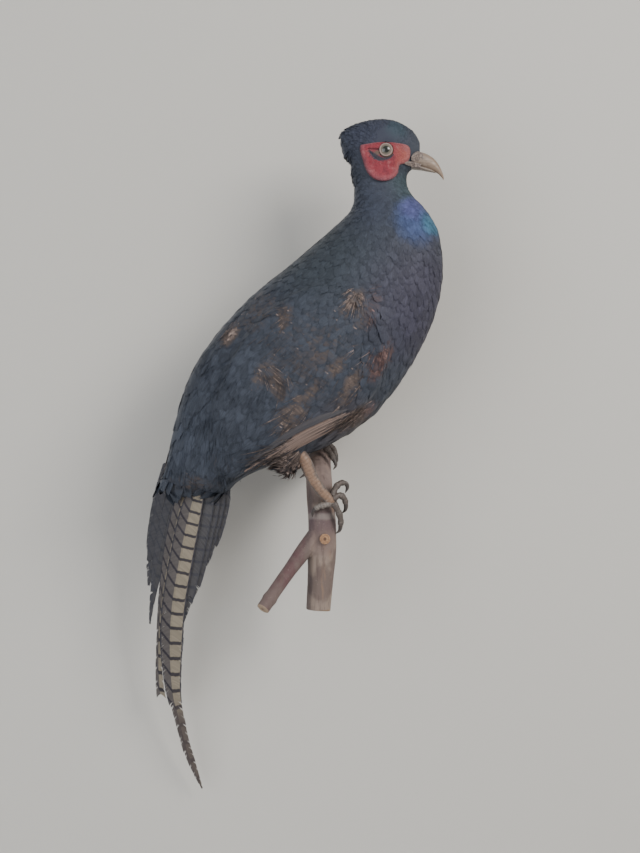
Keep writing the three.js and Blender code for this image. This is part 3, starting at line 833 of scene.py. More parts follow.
def mesh_piece(name, places, faces, loop_maps, attributes, material):
    """An object from corners (n, 3), faces (m, 3 or 4), maps {name: (m, 3 or 4, 2)} and attributes
    {name: (n,) or (n, 3)}."""
    mesh = bpy.data.meshes.new(name)
    mesh.vertices.add(len(places))
    mesh.vertices.foreach_set("co", np.asarray(places, np.float32).ravel())
    mesh.loops.add(faces.size)
    mesh.loops.foreach_set("vertex_index", faces.ravel().astype(np.int32))
    mesh.polygons.add(len(faces))
    mesh.polygons.foreach_set("loop_start", np.arange(0, faces.size, faces.shape[1], dtype=np.int32))
    for key, values in loop_maps.items():
        mesh.uv_layers.new(name=key).data.foreach_set("uv", np.asarray(values, np.float32).ravel())
    for key, values in attributes.items():
        kind = "FLOAT" if np.ndim(values) == 1 else "FLOAT_VECTOR"
        data = mesh.attributes.new(key, kind, "POINT").data
        data.foreach_set("value" if kind == "FLOAT" else "vector", np.asarray(values, np.float32).ravel())
    mesh.update(calc_edges=True)
    mesh.validate()
    mesh.materials.append(material)
    made = bpy.data.objects.new(name, mesh)
    bpy.context.scene.collection.objects.link(made)
    make_active(made)
    bpy.ops.object.shade_smooth_by_angle(angle=math.radians(50))
    return made


def lay_feathers(name, kinds, roots, width, material, seed, all_worn=0.0, camber=0.03, tree=None,
                 thickness=FEATHER_THICKNESS):
    """One coat piece: a copy of a template at each root, along its way."""
    chance = np.random.default_rng(seed)
    count = len(roots["place"])
    way = np.stack([roots["way"][:, 0], np.zeros(count), roots["way"][:, 1]], 1)
    normal = roots["normal"]
    along = unit(way - normal * (way * normal).sum(1)[:, None])
    across = np.cross(along, normal)
    turn = chance.normal(0, 0.13, count)[:, None]
    along, across = along * np.cos(turn) + across * np.sin(turn), across * np.cos(turn) - along * np.sin(turn)
    length = roots["length"] * chance.uniform(0.86, 1.16, count)
    wide = length * width * chance.uniform(0.88, 1.1, count)
    rise = np.tan(roots["lift"] * chance.uniform(0.75, 1.25, count))
    tone = chance.random(count)
    stray = chance.uniform(0.55, 1.25, count)
    kind_of = chance.integers(0, len(kinds), count)
    worn = roots.get("worn", np.full(count, all_worn))
    bend = roots.get("bend", np.zeros(count)) * length
    all_places, all_faces, all_vane, all_bake, all_facing = [], [], [], [], []
    carried = {"place": [], "tone": [], "wear": []}
    done = 0
    for which, kind in enumerate(kinds):
        mine = np.flatnonzero(kind_of == which)
        if not len(mine):
            continue
        x, y = kind["flat"][:, 0], kind["flat"][:, 1]
        reach = y[None, :] * length[mine][:, None]
        aside = x[None, :] * wide[mine][:, None] + y[None, :] ** 2 * bend[mine][:, None]
        flat = roots["place"][mine][:, None] + across[mine][:, None] * aside[:, :, None]
        flat = flat + along[mine][:, None] * reach[:, :, None]
        risen = kind["rise"] - TIP_DIP * np.clip((kind["rise"] - 0.6) / 0.4, 0, None) ** 1.5
        heights = -0.35 * MM + risen[None, :] * (length * rise)[mine][:, None]
        heights = heights - camber * wide[mine][:, None] * (2 * x[None, :]) ** 2
        normals = np.repeat(normal[mine], len(x), axis=0)
        ahead = np.repeat(along[mine], len(x), axis=0)
        limit = (0.3 * np.abs(reach) + 0.8 * MM).ravel()
        places = flat.reshape(-1, 3)
        laid, upward = laid_places(tree or skin_tree, places, limit, normals, ahead, heights.ravel())
        laid, upward = laid.reshape(len(mine), -1, 3), upward.reshape(len(mine), -1, 3)
        source = kind["source"]
        thick = kind["corner"][:, 2][None, :] * (thickness * wide[mine])[:, None] * 2
        places = laid[:, source] + upward[:, source] * thick[:, :, None]
        corners = places.shape[1]
        faces = kind["faces"][None] + (done + np.arange(len(mine)) * corners)[:, None, None]
        done += len(mine) * corners
        vane = np.broadcast_to(kind["vane"][kind["faces"]], (len(mine), *kind["faces"].shape, 2))
        bake = roots["uv"][mine][:, None, None] + (vane - 0.5) * PATCH
        all_places.append(places.reshape(-1, 3))
        all_faces.append(faces.reshape(-1, 3))
        all_vane.append(vane.reshape(-1, 3, 2))
        all_bake.append(bake.reshape(-1, 3, 2))
        outside = np.where(kind["corner"][:, 2] < -1e-6, -1.0, 1.0)
        all_facing.append((upward[:, source] * outside[None, :, None]).reshape(-1, 3))
        spots = places.reshape(-1, 3)
        carried["place"].append(0.4 * np.repeat(roots["place"][mine], corners, axis=0) + 0.6 * spots)
        carried["tone"].append(np.repeat(tone[mine], corners))
        worn_here = np.maximum(worn_at(spots), np.repeat(worn[mine], corners))
        carried["wear"].append(worn_here * np.repeat(stray[mine], corners))
    piece = mesh_piece(
        name,
        np.concatenate(all_places),
        np.concatenate(all_faces),
        {"UVMap": np.concatenate(all_vane), "OFBake": np.concatenate(all_bake)},
        {key: np.concatenate(values) for key, values in carried.items()},
        material,
    )
    facing = SOFT_NORMALS * np.concatenate(all_facing) + (1 - SOFT_NORMALS) * normals_of(piece.data)
    piece.data.normals_split_custom_set_from_vertices(unit(facing).tolist())
    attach(piece, "root")
    print(name, count, "feathers,", len(piece.data.polygons), "triangles")
    return piece


# %% The body's coat
def owned_by(word):
    return np.char.startswith(triangle_owner, word)


x_there, y_there, z_there = (skin_middle / MM).T
ON_TRUNK = triangle_owner == "trunk"
ABOVE_AXIS = (z_there - 10) - 0.75 * (x_there + 70) > 0  # the back's side of the body's long axis
BILL_ROOT = [(84.4, 266), (85, 279.5), (91, 281.5), (98, 282), (98, 262)]
BARE = inside(WATTLE_OUTLINE, x_there, z_there) & (np.abs(y_there + 101) > 7)
BARE |= inside(BILL_ROOT, x_there, z_there)
THIGH_ROOT = (np.hypot(x_there + 26, z_there + 6) < 13) & (np.abs(y_there + 100) > 8)
BAND_X = [-90, -63, -41, -18, 4, 28, 44, 46]
UNDER_QUILLS = (z_there < np.interp(x_there, BAND_X, [-14, -12, 1, 12, 24, 36, 44, -99]))
UNDER_QUILLS &= z_there > np.interp(x_there, BAND_X, [-99, -20, -7, 4, 16, 28, 38, 99])
# the triangles, the feather, its width and the spacing as shares of its length
REGIONS = {
    "coat_head": (owned_by("head") & ~BARE, SMALL, 0.85, 0.36),
    "coat_neck": (owned_by("neck"), MIDDLE, 0.85, 0.30),
    "coat_breast": (ON_TRUNK & (x_there > 58), LARGE, 0.5, 0.21),
    "coat_shoulders": (ON_TRUNK & (x_there <= 58) & (x_there > -20) & ABOVE_AXIS, LARGE, 0.5, 0.21),
    "coat_back": (ON_TRUNK & (x_there <= -20) & ABOVE_AXIS, LARGE, 0.5, 0.21),
    "coat_belly": (ON_TRUNK & (x_there <= 58) & ~ABOVE_AXIS, LARGE, 0.5, 0.21),
    "coat_rump": (owned_by("rump"), LARGE, 0.4, 0.16),
}
for number, (name, (allowed, kinds, width, spacing)) in enumerate(REGIONS.items()):
    rooted = scatter(allowed, spacing, 60 + number)
    lay_feathers(name, kinds, rooted, width, body_feather, 100 + number)
for number, side in enumerate(SIDES):
    rooted = scatter(owned_by(f"wing_{side}") & ~UNDER_QUILLS, 0.21, 70 + number)
    lay_feathers(f"coat_wing_{side}", LARGE, rooted, 0.46, wing_feather, 120 + number)
on_wing_edge = np.abs(x_there - np.interp(z_there, [38, 150], [45, 60])) < 5
on_wing_edge &= (z_there > 40) & (z_there < 148) & (np.abs(y_there + 100) > 20)
rooted = scatter(on_wing_edge, 0.34, 75, length=14 * MM, lift=math.radians(9))
lay_feathers("coat_breast_edge", MIDDLE, rooted, 0.85, body_feather, 125)
rooted = scatter(owned_by("thigh") | ON_TRUNK & THIGH_ROOT, 0.12, 80, length=15 * MM, lift=math.radians(17))
lay_feathers("coat_thighs", LOOSE, rooted, 0.16, body_feather, 130, 0.9)
rooted = scatter(owned_by("thigh") | ON_TRUNK & THIGH_ROOT, 0.06, 81, length=16 * MM, lift=math.radians(21))
lay_feathers("coat_thigh_down", STRAND, rooted, 0.07, body_feather, 131, 1.2, thickness=0.1)


# %% [markdown]
# ## Loose strands
# On an old mount some barbs have come loose and lie over the coat as thin, bleached hairs, most of them
# along the edges of the worn patches and over the rump. Each is one narrow strand, laid like a feather.

# %% Loose strands
# where barbs have come loose: x, z of the roots, the way in degrees, length, half the spread (mm), how many,
# how far they fan out in degrees, how worn they are, and how high the tips stand (mm)
STRANDS = [
    (35, 144, 246, 18, 3.2, 110, 30, 1.75, 2.4), (57, 148, 206, 16, 3.5, 36, 15, 0.9, 2.2),
    (48, 127, 262, 14, 2.5, 40, 12, 1.1, 2.2), (56, 99, 252, 24, 5, 110, 12, 1.05, 2.3),
    (52, 90, 233, 34, 3, 22, 7, 1.2, 2.4),
    (39, 98, 206, 22, 1.0, 6, 6, 1.5, 2.4), (-50, 82, 308, 25, 4, 60, 20, 1.1, 2.4),
    (-31, 72, 262, 24, 4, 50, 10, 0.9, 2.3),
    (-74, 121, 249, 21, 2.5, 40, 12, 1.4, 2.3), (-24, 128, 207, 22, 5, 44, 20, 0.95, 2.2),
    (-8, 46, 227, 40, 10, 110, 5, 0.9, 2.4),
    (42, 66, 222, 42, 4, 26, 5, 1.15, 2.4), (75, 52, 210, 40, 5, 60, 6, 0.85, 2.4),
    (42, 45, 210, 40, 3.5, 70, 5, 1.15, 4.6),
    (-16, 15, 212, 40, 4.5, 70, 4, 1.25, 4.6), (-36, 2, 213, 32, 3.5, 50, 4, 0.7, 4.4),
    (-6, 90, 230, 26, 44, 160, 14, 0.62, 2.2),
]
RUMP_HAIRS = [
    (-108, -2, 262, 36, 34, 300, 5, 0.15, 3.2), (-110, 16, 258, 34, 36, 200, 6, 0.2, 3.0),
    (-88, 4, 255, 32, 12, 90, 8, 0.5, 3.2),
    (-105, 48, 250, 34, 44, 320, 6, 0.0, 2.6), (-80, 85, 238, 30, 44, 260, 8, 0.0, 2.4),
]


def strand_roots(strokes, side, seed):
    """Roots for loose strands on one side of the skin."""
    chance = np.random.default_rng(seed)
    found = {key: [] for key in ("place", "normal", "uv", "way", "length", "lift", "worn", "bend")}
    for x, z, way, length, spread, count, fan, worn, high in strokes:
        ahead = np.array([math.cos(math.radians(way)), math.sin(math.radians(way))])
        for _ in range(count):
            aside, back = chance.uniform(-1, 1), chance.uniform(-0.3, 0.35)
            at = np.array([x, z]) + np.array([-ahead[1], ahead[0]]) * aside * spread + ahead * back * length
            start = Vector((at[0] * MM, MEDIAN + SIDES[side] * 0.12, at[1] * MM))
            hit, normal, triangle, _ = skin_tree.ray_cast(start, Vector((0, -SIDES[side], 0)))
            if hit is None:
                continue
            turned = math.radians(way + fan * aside + chance.normal(0, 2.5))
            own = length * chance.uniform(0.55, 1.1)
            found["place"].append(hit[:])
            found["normal"].append(normal[:])
            found["uv"].append(skin_uv[skin_loops[triangle]].mean(0))
            found["way"].append((math.cos(turned), math.sin(turned)))
            found["length"].append(own * MM)
            found["lift"].append(math.atan(high / own))
            found["worn"].append(worn * chance.uniform(0.5, 1.25))
            found["bend"].append(chance.normal(0, 0.09))
    return {key: np.array(values) for key, values in found.items()}


for number, side in enumerate(SIDES):
    rooted, name = strand_roots(STRANDS, side, 5), f"coat_strands_{side}"
    lay_feathers(name, STRAND, rooted, 0.019, wing_feather, 150 + number, thickness=0.12)
    rooted, name = strand_roots(RUMP_HAIRS, side, 6), f"coat_rump_hair_{side}"
    lay_feathers(name, STRAND, rooted, 0.032, body_feather, 152 + number, thickness=0.1)


# %% [markdown]
# ## Long feathers from barbs
# The long feathers of the wing and the tail are seen one by one, so each is built as it grows: a shaft,
# and on each side a row of narrow barb strips that leave it at a slant. Where the strips part, the vane
# is split or frayed, as it is on an old mount.

# %% A long feather
def smooth_line(points, count):
    """Points spread evenly along a smooth curve through the given ones, and its length."""
    points = np.asarray(points, float)
    padded = np.vstack([2 * points[0] - points[1], points, 2 * points[-1] - points[-2]])
    fine = []
    for k in range(len(points) - 1):
        p0, p1, p2, p3 = padded[k : k + 4]
        t = np.linspace(0, 1, 40, endpoint=False)[:, None]
        bend = (2 * p0 - 5 * p1 + 4 * p2 - p3) * t**2 + (3 * p1 - p0 - 3 * p2 + p3) * t**3
        fine.append(0.5 * (2 * p1 + (p2 - p0) * t + bend))
    fine = np.vstack(fine + [points[-1:]])
    reach = np.concatenate([[0], np.cumsum(np.linalg.norm(np.diff(fine, axis=0), axis=1))])
    even = np.linspace(0, reach[-1], count)
    return np.stack([np.interp(even, reach, fine[:, k]) for k in range(points.shape[1])], 1), reach[-1]


BARB_COLUMNS = 4
# a strip is a thin closed box: a top row of corner pairs, and then a bottom one
STRIP_ROW = 2 * (BARB_COLUMNS + 1)
STRIP_FACES = []
for k in range(BARB_COLUMNS):
    top, bottom = 2 * k, STRIP_ROW + 2 * k
    STRIP_FACES += [(top, top + 1, top + 3, top + 2), (bottom, bottom + 2, bottom + 3, bottom + 1)]
    STRIP_FACES += [(top, top + 2, bottom + 2, bottom), (top + 1, bottom + 1, bottom + 3, top + 3)]
last = 2 * BARB_COLUMNS
STRIP_FACES += [(0, STRIP_ROW, STRIP_ROW + 1, 1), (last, last + 1, last + STRIP_ROW + 1, last + STRIP_ROW)]
STRIP_FACES = np.array(STRIP_FACES)
SHAFT_SIDES = 6
SHAFT_ENDS = ((0, 1, 2, 3), (3, 4, 5, 0))  # an end is closed by two quads over its six corners


def clumps(chance, count):
    """For a row of barb strips: a number for each clump of them, and whether a strip is its clump's last."""
    ends = np.cumsum(chance.integers(3, 10, count))
    order = np.arange(count)
    return chance.random(count)[np.searchsorted(ends, order, side="right")], np.isin(order + 1, ends)


def shaft_tube(surface, length, aside, widest, thickness, first):
    """The shaft as a tapering tube: its corners, its faces and how far along each corner lies."""
    rows = max(8, int(length / (6 * MM)))
    s = np.linspace(0, length * 0.985, rows)
    where, normal = surface(s, np.full(rows, aside))
    along = unit(np.gradient(where, axis=0))
    sideways = unit(np.cross(along, normal))
    radius = widest * np.linspace(1, 0.25, rows)
    places = []
    for j in range(SHAFT_SIDES):
        angle = 2 * math.pi * j / SHAFT_SIDES
        places.append(where + normal * (radius * math.sin(angle) * 0.9 + thickness * 0.4)[:, None]
                      + sideways * (radius * math.cos(angle))[:, None])
    starts = [first + j * rows for j in range(SHAFT_SIDES)]
    faces = ring_faces(list(zip(starts, starts[1:] + starts[:1])), rows, closed=False)
    faces += [[starts[j] + i for j in half] for i in (0, rows - 1) for half in SHAFT_ENDS]
    return places, np.array(faces), np.tile(s, SHAFT_SIDES)


def barb_feather(name, surface, length, half_at, shaft, strip, slant, thickness, material, seed,
                 fray=0.25, splits=(), tip_fray=0.0, shaft_radius=0.5 * MM):
    """A long feather. surface(s, w) gives places and outward normals for arrays of reach and side distance.
    half_at(share) gives how far the vane reaches to each side; splits are (share, side, gap)."""
    chance = np.random.default_rng(seed)
    count = int(length / strip)
    places, faces, vane, reach_at, tone_at = [], [], [], [], []
    done = 0
    for side in (-1, 1):
        clump, last = clumps(chance, count + 2)
        for k in range(-2, count):
            share = max((k + 0.5) / count, 0)
            wide = half_at(share, side)
            start, end = k * strip, (k + 1.25) * strip
            close = (0.04 + 1.8 * fray * last[k + 2]) * strip
            longer = (chance.uniform(-0.015, 0.015) + 0.07 * (clump[k + 2] - 0.6)) * wide
            lean = slant * (1 + chance.normal(0, 0.008) + 0.05 * (clump[k + 2] - 0.5))
            if tip_fray and share > 1 - tip_fray:
                close += (0.1 + 0.6 * last[k + 2]) * strip
                longer -= (0.22 * clump[k + 2] + chance.uniform(0, 0.05)) * wide
            u = np.linspace(0, 1, BARB_COLUMNS + 1)
            w = (wide + longer) * u
            forward = lean * wide * (0.35 * u + 0.65 * u**1.8)
            for at, where, g in splits:
                if side == where:
                    forward = forward + np.sign(share - at) * g * 0.5 * u * max(0, 1 - abs(share - at) / 0.05)
            s0 = start + forward + close * 0.5 * u
            s1 = end + forward - (close * 0.5 + 0.2 * strip) * u
            s = np.stack([s0, s1], 1).ravel()
            across = np.repeat(side * w, 2)
            where, normal = surface(np.clip(s, 0, length * 1.02), shaft + across)
            raise_by = thickness * (0.5 + 0.12 * chance.random())
            thin = np.repeat(1 - 0.7 * u, 2)[:, None]
            places += [where + normal * raise_by * thin, where - normal * thickness * 0.5 * thin]
            faces.append(STRIP_FACES + done)
            done += 2 * STRIP_ROW
            widest = max(half_at(share, 1), half_at(share, -1), 1e-6)
            spot = np.stack([0.5 + 0.5 * across / widest, s / length], 1)
            vane.append(np.vstack([spot, spot])[STRIP_FACES])
            reach_at.append(np.tile(s, 2))
            tone_at.append(np.full(2 * STRIP_ROW, chance.random()))
    tube_places, tube, s = shaft_tube(surface, length, shaft, shaft_radius, thickness, done)
    places += tube_places
    faces.append(tube)
    spot = np.stack([np.full(len(s), 0.5), s / length], 1)
    vane.append(spot[tube - done])
    reach_at.append(s)
    tone_at.append(np.full(len(s), 0.5))
    vane = np.concatenate(vane)
    piece = mesh_piece(
        name, np.concatenate(places), np.concatenate(faces), {"UVMap": vane, "OFBake": 0.04 + vane * 0.9},
        {"reach": np.concatenate(reach_at), "tone": np.concatenate(tone_at)}, material,
    )
    face_outward(piece)
    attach(piece, "root")
    return piece


# %% [markdown]
# ## The tail
# The tail is a roof of long pointed feathers, turned with its upper side to the room. The middle feather
# carries the pattern of the species: dark bars that slant down to the shaft on one vane, and between them, on
# the other, a row of pale squares. That pale vane is the half of the roof turned to the window lamp, and its
# paleness is partly painted light. The feathers under it are nearly black.

# %% The tail's finish
BARS_GROW = 3.53  # the bars lie wider apart by this share for each metre
BARS_COUNT = 28.2


def tail_finish(name, strength, ground=(0.092, 0.080, 0.076), squares=(0.235, 0.200, 0.150)):
    made, tree, shader = new_material(name)
    uv = own_map(tree)
    spot = new_node(tree, "SeparateXYZ", Vector=uv).outputs
    u = spot["X"]
    reach = attribute(tree, "reach")
    tone = attribute(tree, "tone")
    grown = calculate(tree, "LOGARITHM", calculate(tree, "MULTIPLY_ADD", reach, BARS_GROW, 1.0), math.e)
    wobble = calculate(tree, "MULTIPLY_ADD", noise(tree, uv, 9.0), 0.16, 0.42)
    turns = calculate(tree, "MULTIPLY_ADD", grown, BARS_COUNT, wobble)
    left = calculate(tree, "MAXIMUM", calculate(tree, "SUBTRACT", 0.46, u), 0.0)
    turns = calculate(tree, "MULTIPLY_ADD", left, 1.45, turns)
    fringe = soft_step(tree, u, 0.92, 0.95)
    turns = calculate(tree, "MULTIPLY_ADD", fringe, 0.45, turns)
    wave = calculate(tree, "ABSOLUTE", calculate(tree, "SUBTRACT", calculate(tree, "FRACT", turns), 0.5))
    bar = soft_step(tree, wave, 0.135, 0.09)
    # partly painted light: the vane with the pale squares is the half turned to the lamp, painted paler as
    # well as lit
    pale_lit_vane = times(tree, soft_step(tree, u, 0.445, 0.465), soft_step(tree, u, 0.95, 0.92))
    base = blend(tree, pale_lit_vane, ground, squares)
    edge = calculate(tree, "MAXIMUM", soft_step(tree, u, 0.10, 0.03), soft_step(tree, u, 0.93, 0.97))
    base = blend(tree, times(tree, edge, 0.86), base, (0.030, 0.030, 0.042))
    barred = blend(tree, times(tree, bar, 0.93), base, (0.022, 0.019, 0.027))
    barred = tinted(tree, barred, reach, 0.222, 0.248, 0.86, (0.066, 0.051, 0.048))
    comb = place_group(tree, barbs, UV=uv, Count=260.0, Slant=0.5, Seed=3.0)
    hair = soft_step(tree, comb["Streak"], 0.25, 0.75, 0.82, 1.18)
    hair = times(tree, hair, soft_step(tree, tone, 0, 1, 0.9, 1.1))
    patterned = blend(tree, strength, (0.046, 0.047, 0.057), barred)
    feed(tree, shader["Base Color"], scaled(tree, patterned, hair))
    shader["Roughness"].default_value = 0.6
    shader["Specular IOR Level"].default_value = 0.3
    bump(tree, shader, comb["Height"], 0.5, 0.25 * MM)
    return made


middle_tail = tail_finish("barred middle tail feather", 1.0)
side_tail = tail_finish("dark side tail feather", 0.2, squares=(0.13, 0.112, 0.09))


# %% Tail feathers
TAIL_RIDGE = [
    (-112.5, -99, -21), (-117.2, -95.5, -41.6), (-123.7, -90, -66.9), (-131.6, -80, -104),
    (-138.4, -68, -144.6),
    (-141.4, -56, -186), (-140.2, -44, -226), (-135.6, -36, -251.3), (-126.6, -25, -291),
    (-113.6, -14, -328.2),
]
TAIL_TURN = (72, 84)
TAIL_ROOF, TAIL_RIDGE_ROUND, QUILL_LAYER = 0.36, 9 * MM, 1.35 * MM
SIDE_VANE = [0.62, 0.9, 1, 1, 0.96, 0.86, 0.62, 0.14]
LEFT_VANE = [0.62, 0.9, 1, 1, 0.95, 0.8, 0.6, 0.42, 0.3, 0.1]
MIDDLE_VANE = [0.66, 0.94, 1, 1, 1, 0.95, 0.76, 0.55, 0.46, 0.36, 0.07]
# length as a share of the ridge, middle at root and tip, half the width (all mm), layer, shape, splits
TAIL_FEATHERS = {
    "tail_middle_a": (1.0, 3.5, 1.5, 11.8, 0, MIDDLE_VANE, ()),
    "tail_middle_b": (0.68, -8, -11.6, 9.5, 1, [0.7, 0.95, 0.88, 0.55, 0.36, 0.4, 0.6], ()),
    "tail_right_1": (0.44, 11, 10, 9.5, 2, SIDE_VANE, ((0.8, 1, 2 * MM),)),
    "tail_left_1": (0.475, -22, -24.5, 9, 3, LEFT_VANE, ((0.62, -1, 3 * MM), (0.8, -1, 3 * MM))),
    "tail_right_2": (0.38, 15.5, 14.5, 9, 4, SIDE_VANE, ((0.85, 1, 2 * MM),)),
    "tail_left_2": (0.37, -33, -31.5, 8.5, 5, SIDE_VANE, ((0.8, -1, 4 * MM),)),
    "tail_right_3": (0.29, 19, 18, 8.5, 6, SIDE_VANE, ()),
    "tail_left_3": (0.31, -41, -36, 8, 7, SIDE_VANE, ((0.85, 1, 3 * MM),)),
    "tail_right_4": (0.22, 22, 21.5, 8.5, 8, SIDE_VANE, ()),
}
RIDGE_STEPS = 400
ridge, ridge_length = smooth_line(np.array(TAIL_RIDGE) * MM, RIDGE_STEPS)
ridge_along = unit(np.gradient(ridge, axis=0))
turns = np.radians(np.linspace(*TAIL_TURN, RIDGE_STEPS))
ridge_up = np.stack([-np.cos(turns), -np.sin(turns), np.zeros(RIDGE_STEPS)], 1)
ridge_up = unit(ridge_up - ridge_along * (ridge_up * ridge_along).sum(1)[:, None])
ridge_right = np.cross(ridge_along, ridge_up)
ridge_right *= np.sign(ridge_right[:, :1])


def at_ridge(values, t):
    place = np.clip(t, 0, 1) * (RIDGE_STEPS - 1)
    low = np.minimum(place.astype(int), RIDGE_STEPS - 2)
    part = (place - low)[:, None]
    return values[low] * (1 - part) + values[low + 1] * part


def smooth_profile(values):
    line, _ = smooth_line([(k, v) for k, v in enumerate(values)], 200)
    return lambda share: float(np.interp(share * (len(values) - 1), line[:, 0], line[:, 1]))


for number, (name, (share, root, tip, half, layer, vane_shape, splits)) in enumerate(TAIL_FEATHERS.items()):
    length = share * ridge_length

    def roof(s, w, share=share, root=root, tip=tip, layer=layer, length=length):
        t = s / length * share
        side_way = w + (root + (tip - root) * np.clip(s / length, 0, 1) ** 1.2) * MM
        fall = (np.hypot(side_way, TAIL_RIDGE_ROUND) - TAIL_RIDGE_ROUND) * TAIL_ROOF + layer * QUILL_LAYER
        up = at_ridge(ridge_up, t)
        lift = 0.25 * MM * np.sin(60 * s + number)
        where = at_ridge(ridge, t) + at_ridge(ridge_right, t) * side_way[:, None]
        return where - up * (fall - lift)[:, None], up

    profile = smooth_profile(vane_shape)
    middle = name.startswith("tail_middle")
    piece = barb_feather(
        f"vane_{name}", roof, length, lambda v, side, p=profile, h=half: p(v) * h * MM,
        (-0.08 if middle else 0.15) * half * MM, (1.5 if middle else 1.1) * MM, 0.75, 0.45 * MM,
        middle_tail if middle else side_tail, 200 + number,
        fray=0.2, splits=splits, tip_fray=0.3 if middle else 0.16,
    )
    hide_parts(name)
    print(piece.name, 2 * len(piece.data.polygons), "triangles")


# %% [markdown]
# ## The wing's long feathers
# Below the small coverts the folded wing shows its flight feathers as long, nearly parallel bands. Their
# brown outer edges make the pale band along the lower edge. Each one follows a line of the side view,
# laid over the skin.

# %% Wing quill finish
def quill_finish(name, vane, edge, edge_amount):
    made, tree, shader = new_material(name)
    uv = own_map(tree)
    spot = new_node(tree, "SeparateXYZ", Vector=uv).outputs
    comb = place_group(tree, barbs, UV=uv, Count=150.0, Slant=0.5, Seed=5.0)
    drawn_out = combined(tree, times(tree, spot["X"], 14.0), times(tree, spot["Y"], 1.6))
    pale = times(tree, soft_step(tree, noise(tree, drawn_out, 1.0, detail=4), 0.36, 0.62), edge_amount)
    mixed = blend(tree, pale, vane, edge)
    hair = soft_step(tree, comb["Streak"], 0.25, 0.75, 0.72, 1.25)
    feed(tree, shader["Base Color"], scaled(tree, mixed, hair))
    shader["Roughness"].default_value = 0.6
    bump(tree, shader, comb["Height"], 0.5, 0.25 * MM)
    return made


brown_quill = quill_finish("brown primary quill", (0.062, 0.046, 0.042), (0.265, 0.178, 0.138), 1.0)
dark_quill = quill_finish("dark secondary quill", (0.027, 0.029, 0.037), (0.074, 0.056, 0.052), 0.5)


# %% Wing quills
# the line in x, z (mm), half the width, the height over the skin, and whether it is brown
WING_QUILLS = [
    (((50, 44), (28, 33), (3, 20.5), (-18, 9), (-38, -3)), 2.7, 1.3, True),
    (((50, 46), (28, 35.5), (3, 23), (-19, 11), (-51, -9)), 2.7, 1.8, True),
    (((50, 48), (28, 37.5), (3, 25.5), (-20, 13), (-63, -14.5)), 2.8, 2.3, True),
    (((48, 50.5), (26, 39.5), (1, 27.5), (-23, 14.5), (-67, -14)), 2.9, 2.8, True),
    (((46, 53.5), (22, 42.5), (-4, 30.5), (-28, 18), (-66, -9)), 3.3, 3.1, False),
]


ROOT_SUNK = 2.5  # how deep a quill's root lies under the skin, in mm


def wing_surface(line, side, height):
    """A surface for a quill: its line on the skin of one side, seen from that side."""
    outward = np.array([0, SIDES[side], 0], float)
    fine, length = smooth_line(np.array(line) * MM, 60)
    depth = []
    for x, z in fine.tolist():
        start = Vector((x, MEDIAN + SIDES[side] * 0.12, z))
        hit = skin_tree.ray_cast(start, Vector((0, -SIDES[side], 0)))[0]
        depth.append(hit[1] if hit else np.nan)
    depth = np.array(depth)
    known = ~np.isnan(depth)
    reach = np.linspace(0, length, 60)
    curve = np.polyfit(reach[known], depth[known], 3)
    along = unit(np.gradient(np.stack([fine[:, 0], np.polyval(curve, reach), fine[:, 1]], 1), axis=0))

    def surface(s, w):
        x = np.interp(s, reach, fine[:, 0]) + 0 * w
        z = np.interp(s, reach, fine[:, 1])
        ahead = np.stack([np.interp(s, reach, along[:, k]) for k in range(3)], 1)
        up = unit(np.stack([-ahead[:, 2], np.zeros(len(s)), ahead[:, 0]], 1))
        up *= -np.sign(up[:, 2:3])
        centre = np.stack([x, np.polyval(curve, s), z], 1) + up * w[:, None]
        lowered = -0.10 * np.abs(w)
        raised = (height + ROOT_SUNK) * MM * np.clip(s / (0.4 * length), 0, 1) - ROOT_SUNK * MM + lowered
        return centre + outward * raised[:, None], np.tile(outward, (len(s), 1))

    return surface, length


for side in SIDES:
    for number, (line, half, height, brown) in enumerate(WING_QUILLS):
        surface, length = wing_surface(line, side, height)
        quill_shape = smooth_profile([0.7, 1, 1, 1, 0.95, 0.8, 0.45])
        barb_feather(
            f"quill_wing_{side}_{number}", surface, length, lambda v, s, h=half: quill_shape(v) * h * MM, 0.0,
            1.1 * MM, 1.6, 0.35 * MM, brown_quill if brown else dark_quill, 300 + number,
            fray=0.12, tip_fray=0.2, shaft_radius=0.3 * MM,
        )
print("wing quills:", 2 * len(WING_QUILLS))


# %% [markdown]
# ## The face
# A cock pheasant's face is bare: a red wattle of velvety skin, thick with small papillae, hangs round the
# eye and over the cheek. It is built as rings that widen from the lids to the wattle's outline, draped
# over the side of the head. The eye is a glass one, with a dark pupil in a pale iris, set in as deep as a
# living one.

# %% Wattle
EYE_PLACE = {side: Vector((61.6, -101 + SIDES[side] * 15.4, 277.2)) * MM for side in SIDES}
EYE_RADIUS = 7.4 * MM
LID_OPENING = 5.5 * MM
WATTLE_RINGS, WATTLE_SPOKES = 44, 192
# lines on the face, x and z in millimetres from the eye's middle, and half their thickness at each point
CRESCENT = [
    (-15.4, -0.4, 0.4), (-12.9, -2.9, 1.3), (-9.6, -5.9, 2.0), (-3.6, -8.2, 1.7), (2.8, -7.2, 1.1),
    (7.0, -4.1, 0.4),
]
UNDER_LINE = [(-14.6, -2.4, 0.3), (-12.4, -4.8, 0.5), (-9, -8.2, 0.5), (-5.5, -9.8, 0.3)]
# the crease behind the eye is dented and also darkened with painted shade
EYE_CREASE = [(-16.2, 0.9, 0.4), (-12, 0.7, 0.7), (-7, 0.2, 0.7), (-5, -0.6, 0.3)]
EYE_CORNER = (-7.6, -2.9, 3.0, 2.0)
outline_fine, _ = smooth_line(WATTLE_OUTLINE + WATTLE_OUTLINE[:1], 400)
outline_fine = outline_fine * MM
head_mesh = nodes["head"].data
head_corners, _ = triangles_of(head_mesh)
head_tree = search_tree(coordinates(head_mesh), head_corners)


def side_of(tree, x, z, side, fallback=None):
    """How far out in y a tree's surface stands at x, z on one side of the head."""
    hit = tree.ray_cast(Vector((x, HEAD_MEDIAN + SIDES[side] * 0.05, z)), Vector((0, -SIDES[side], 0)))[0]
    return hit[1] if hit else fallback


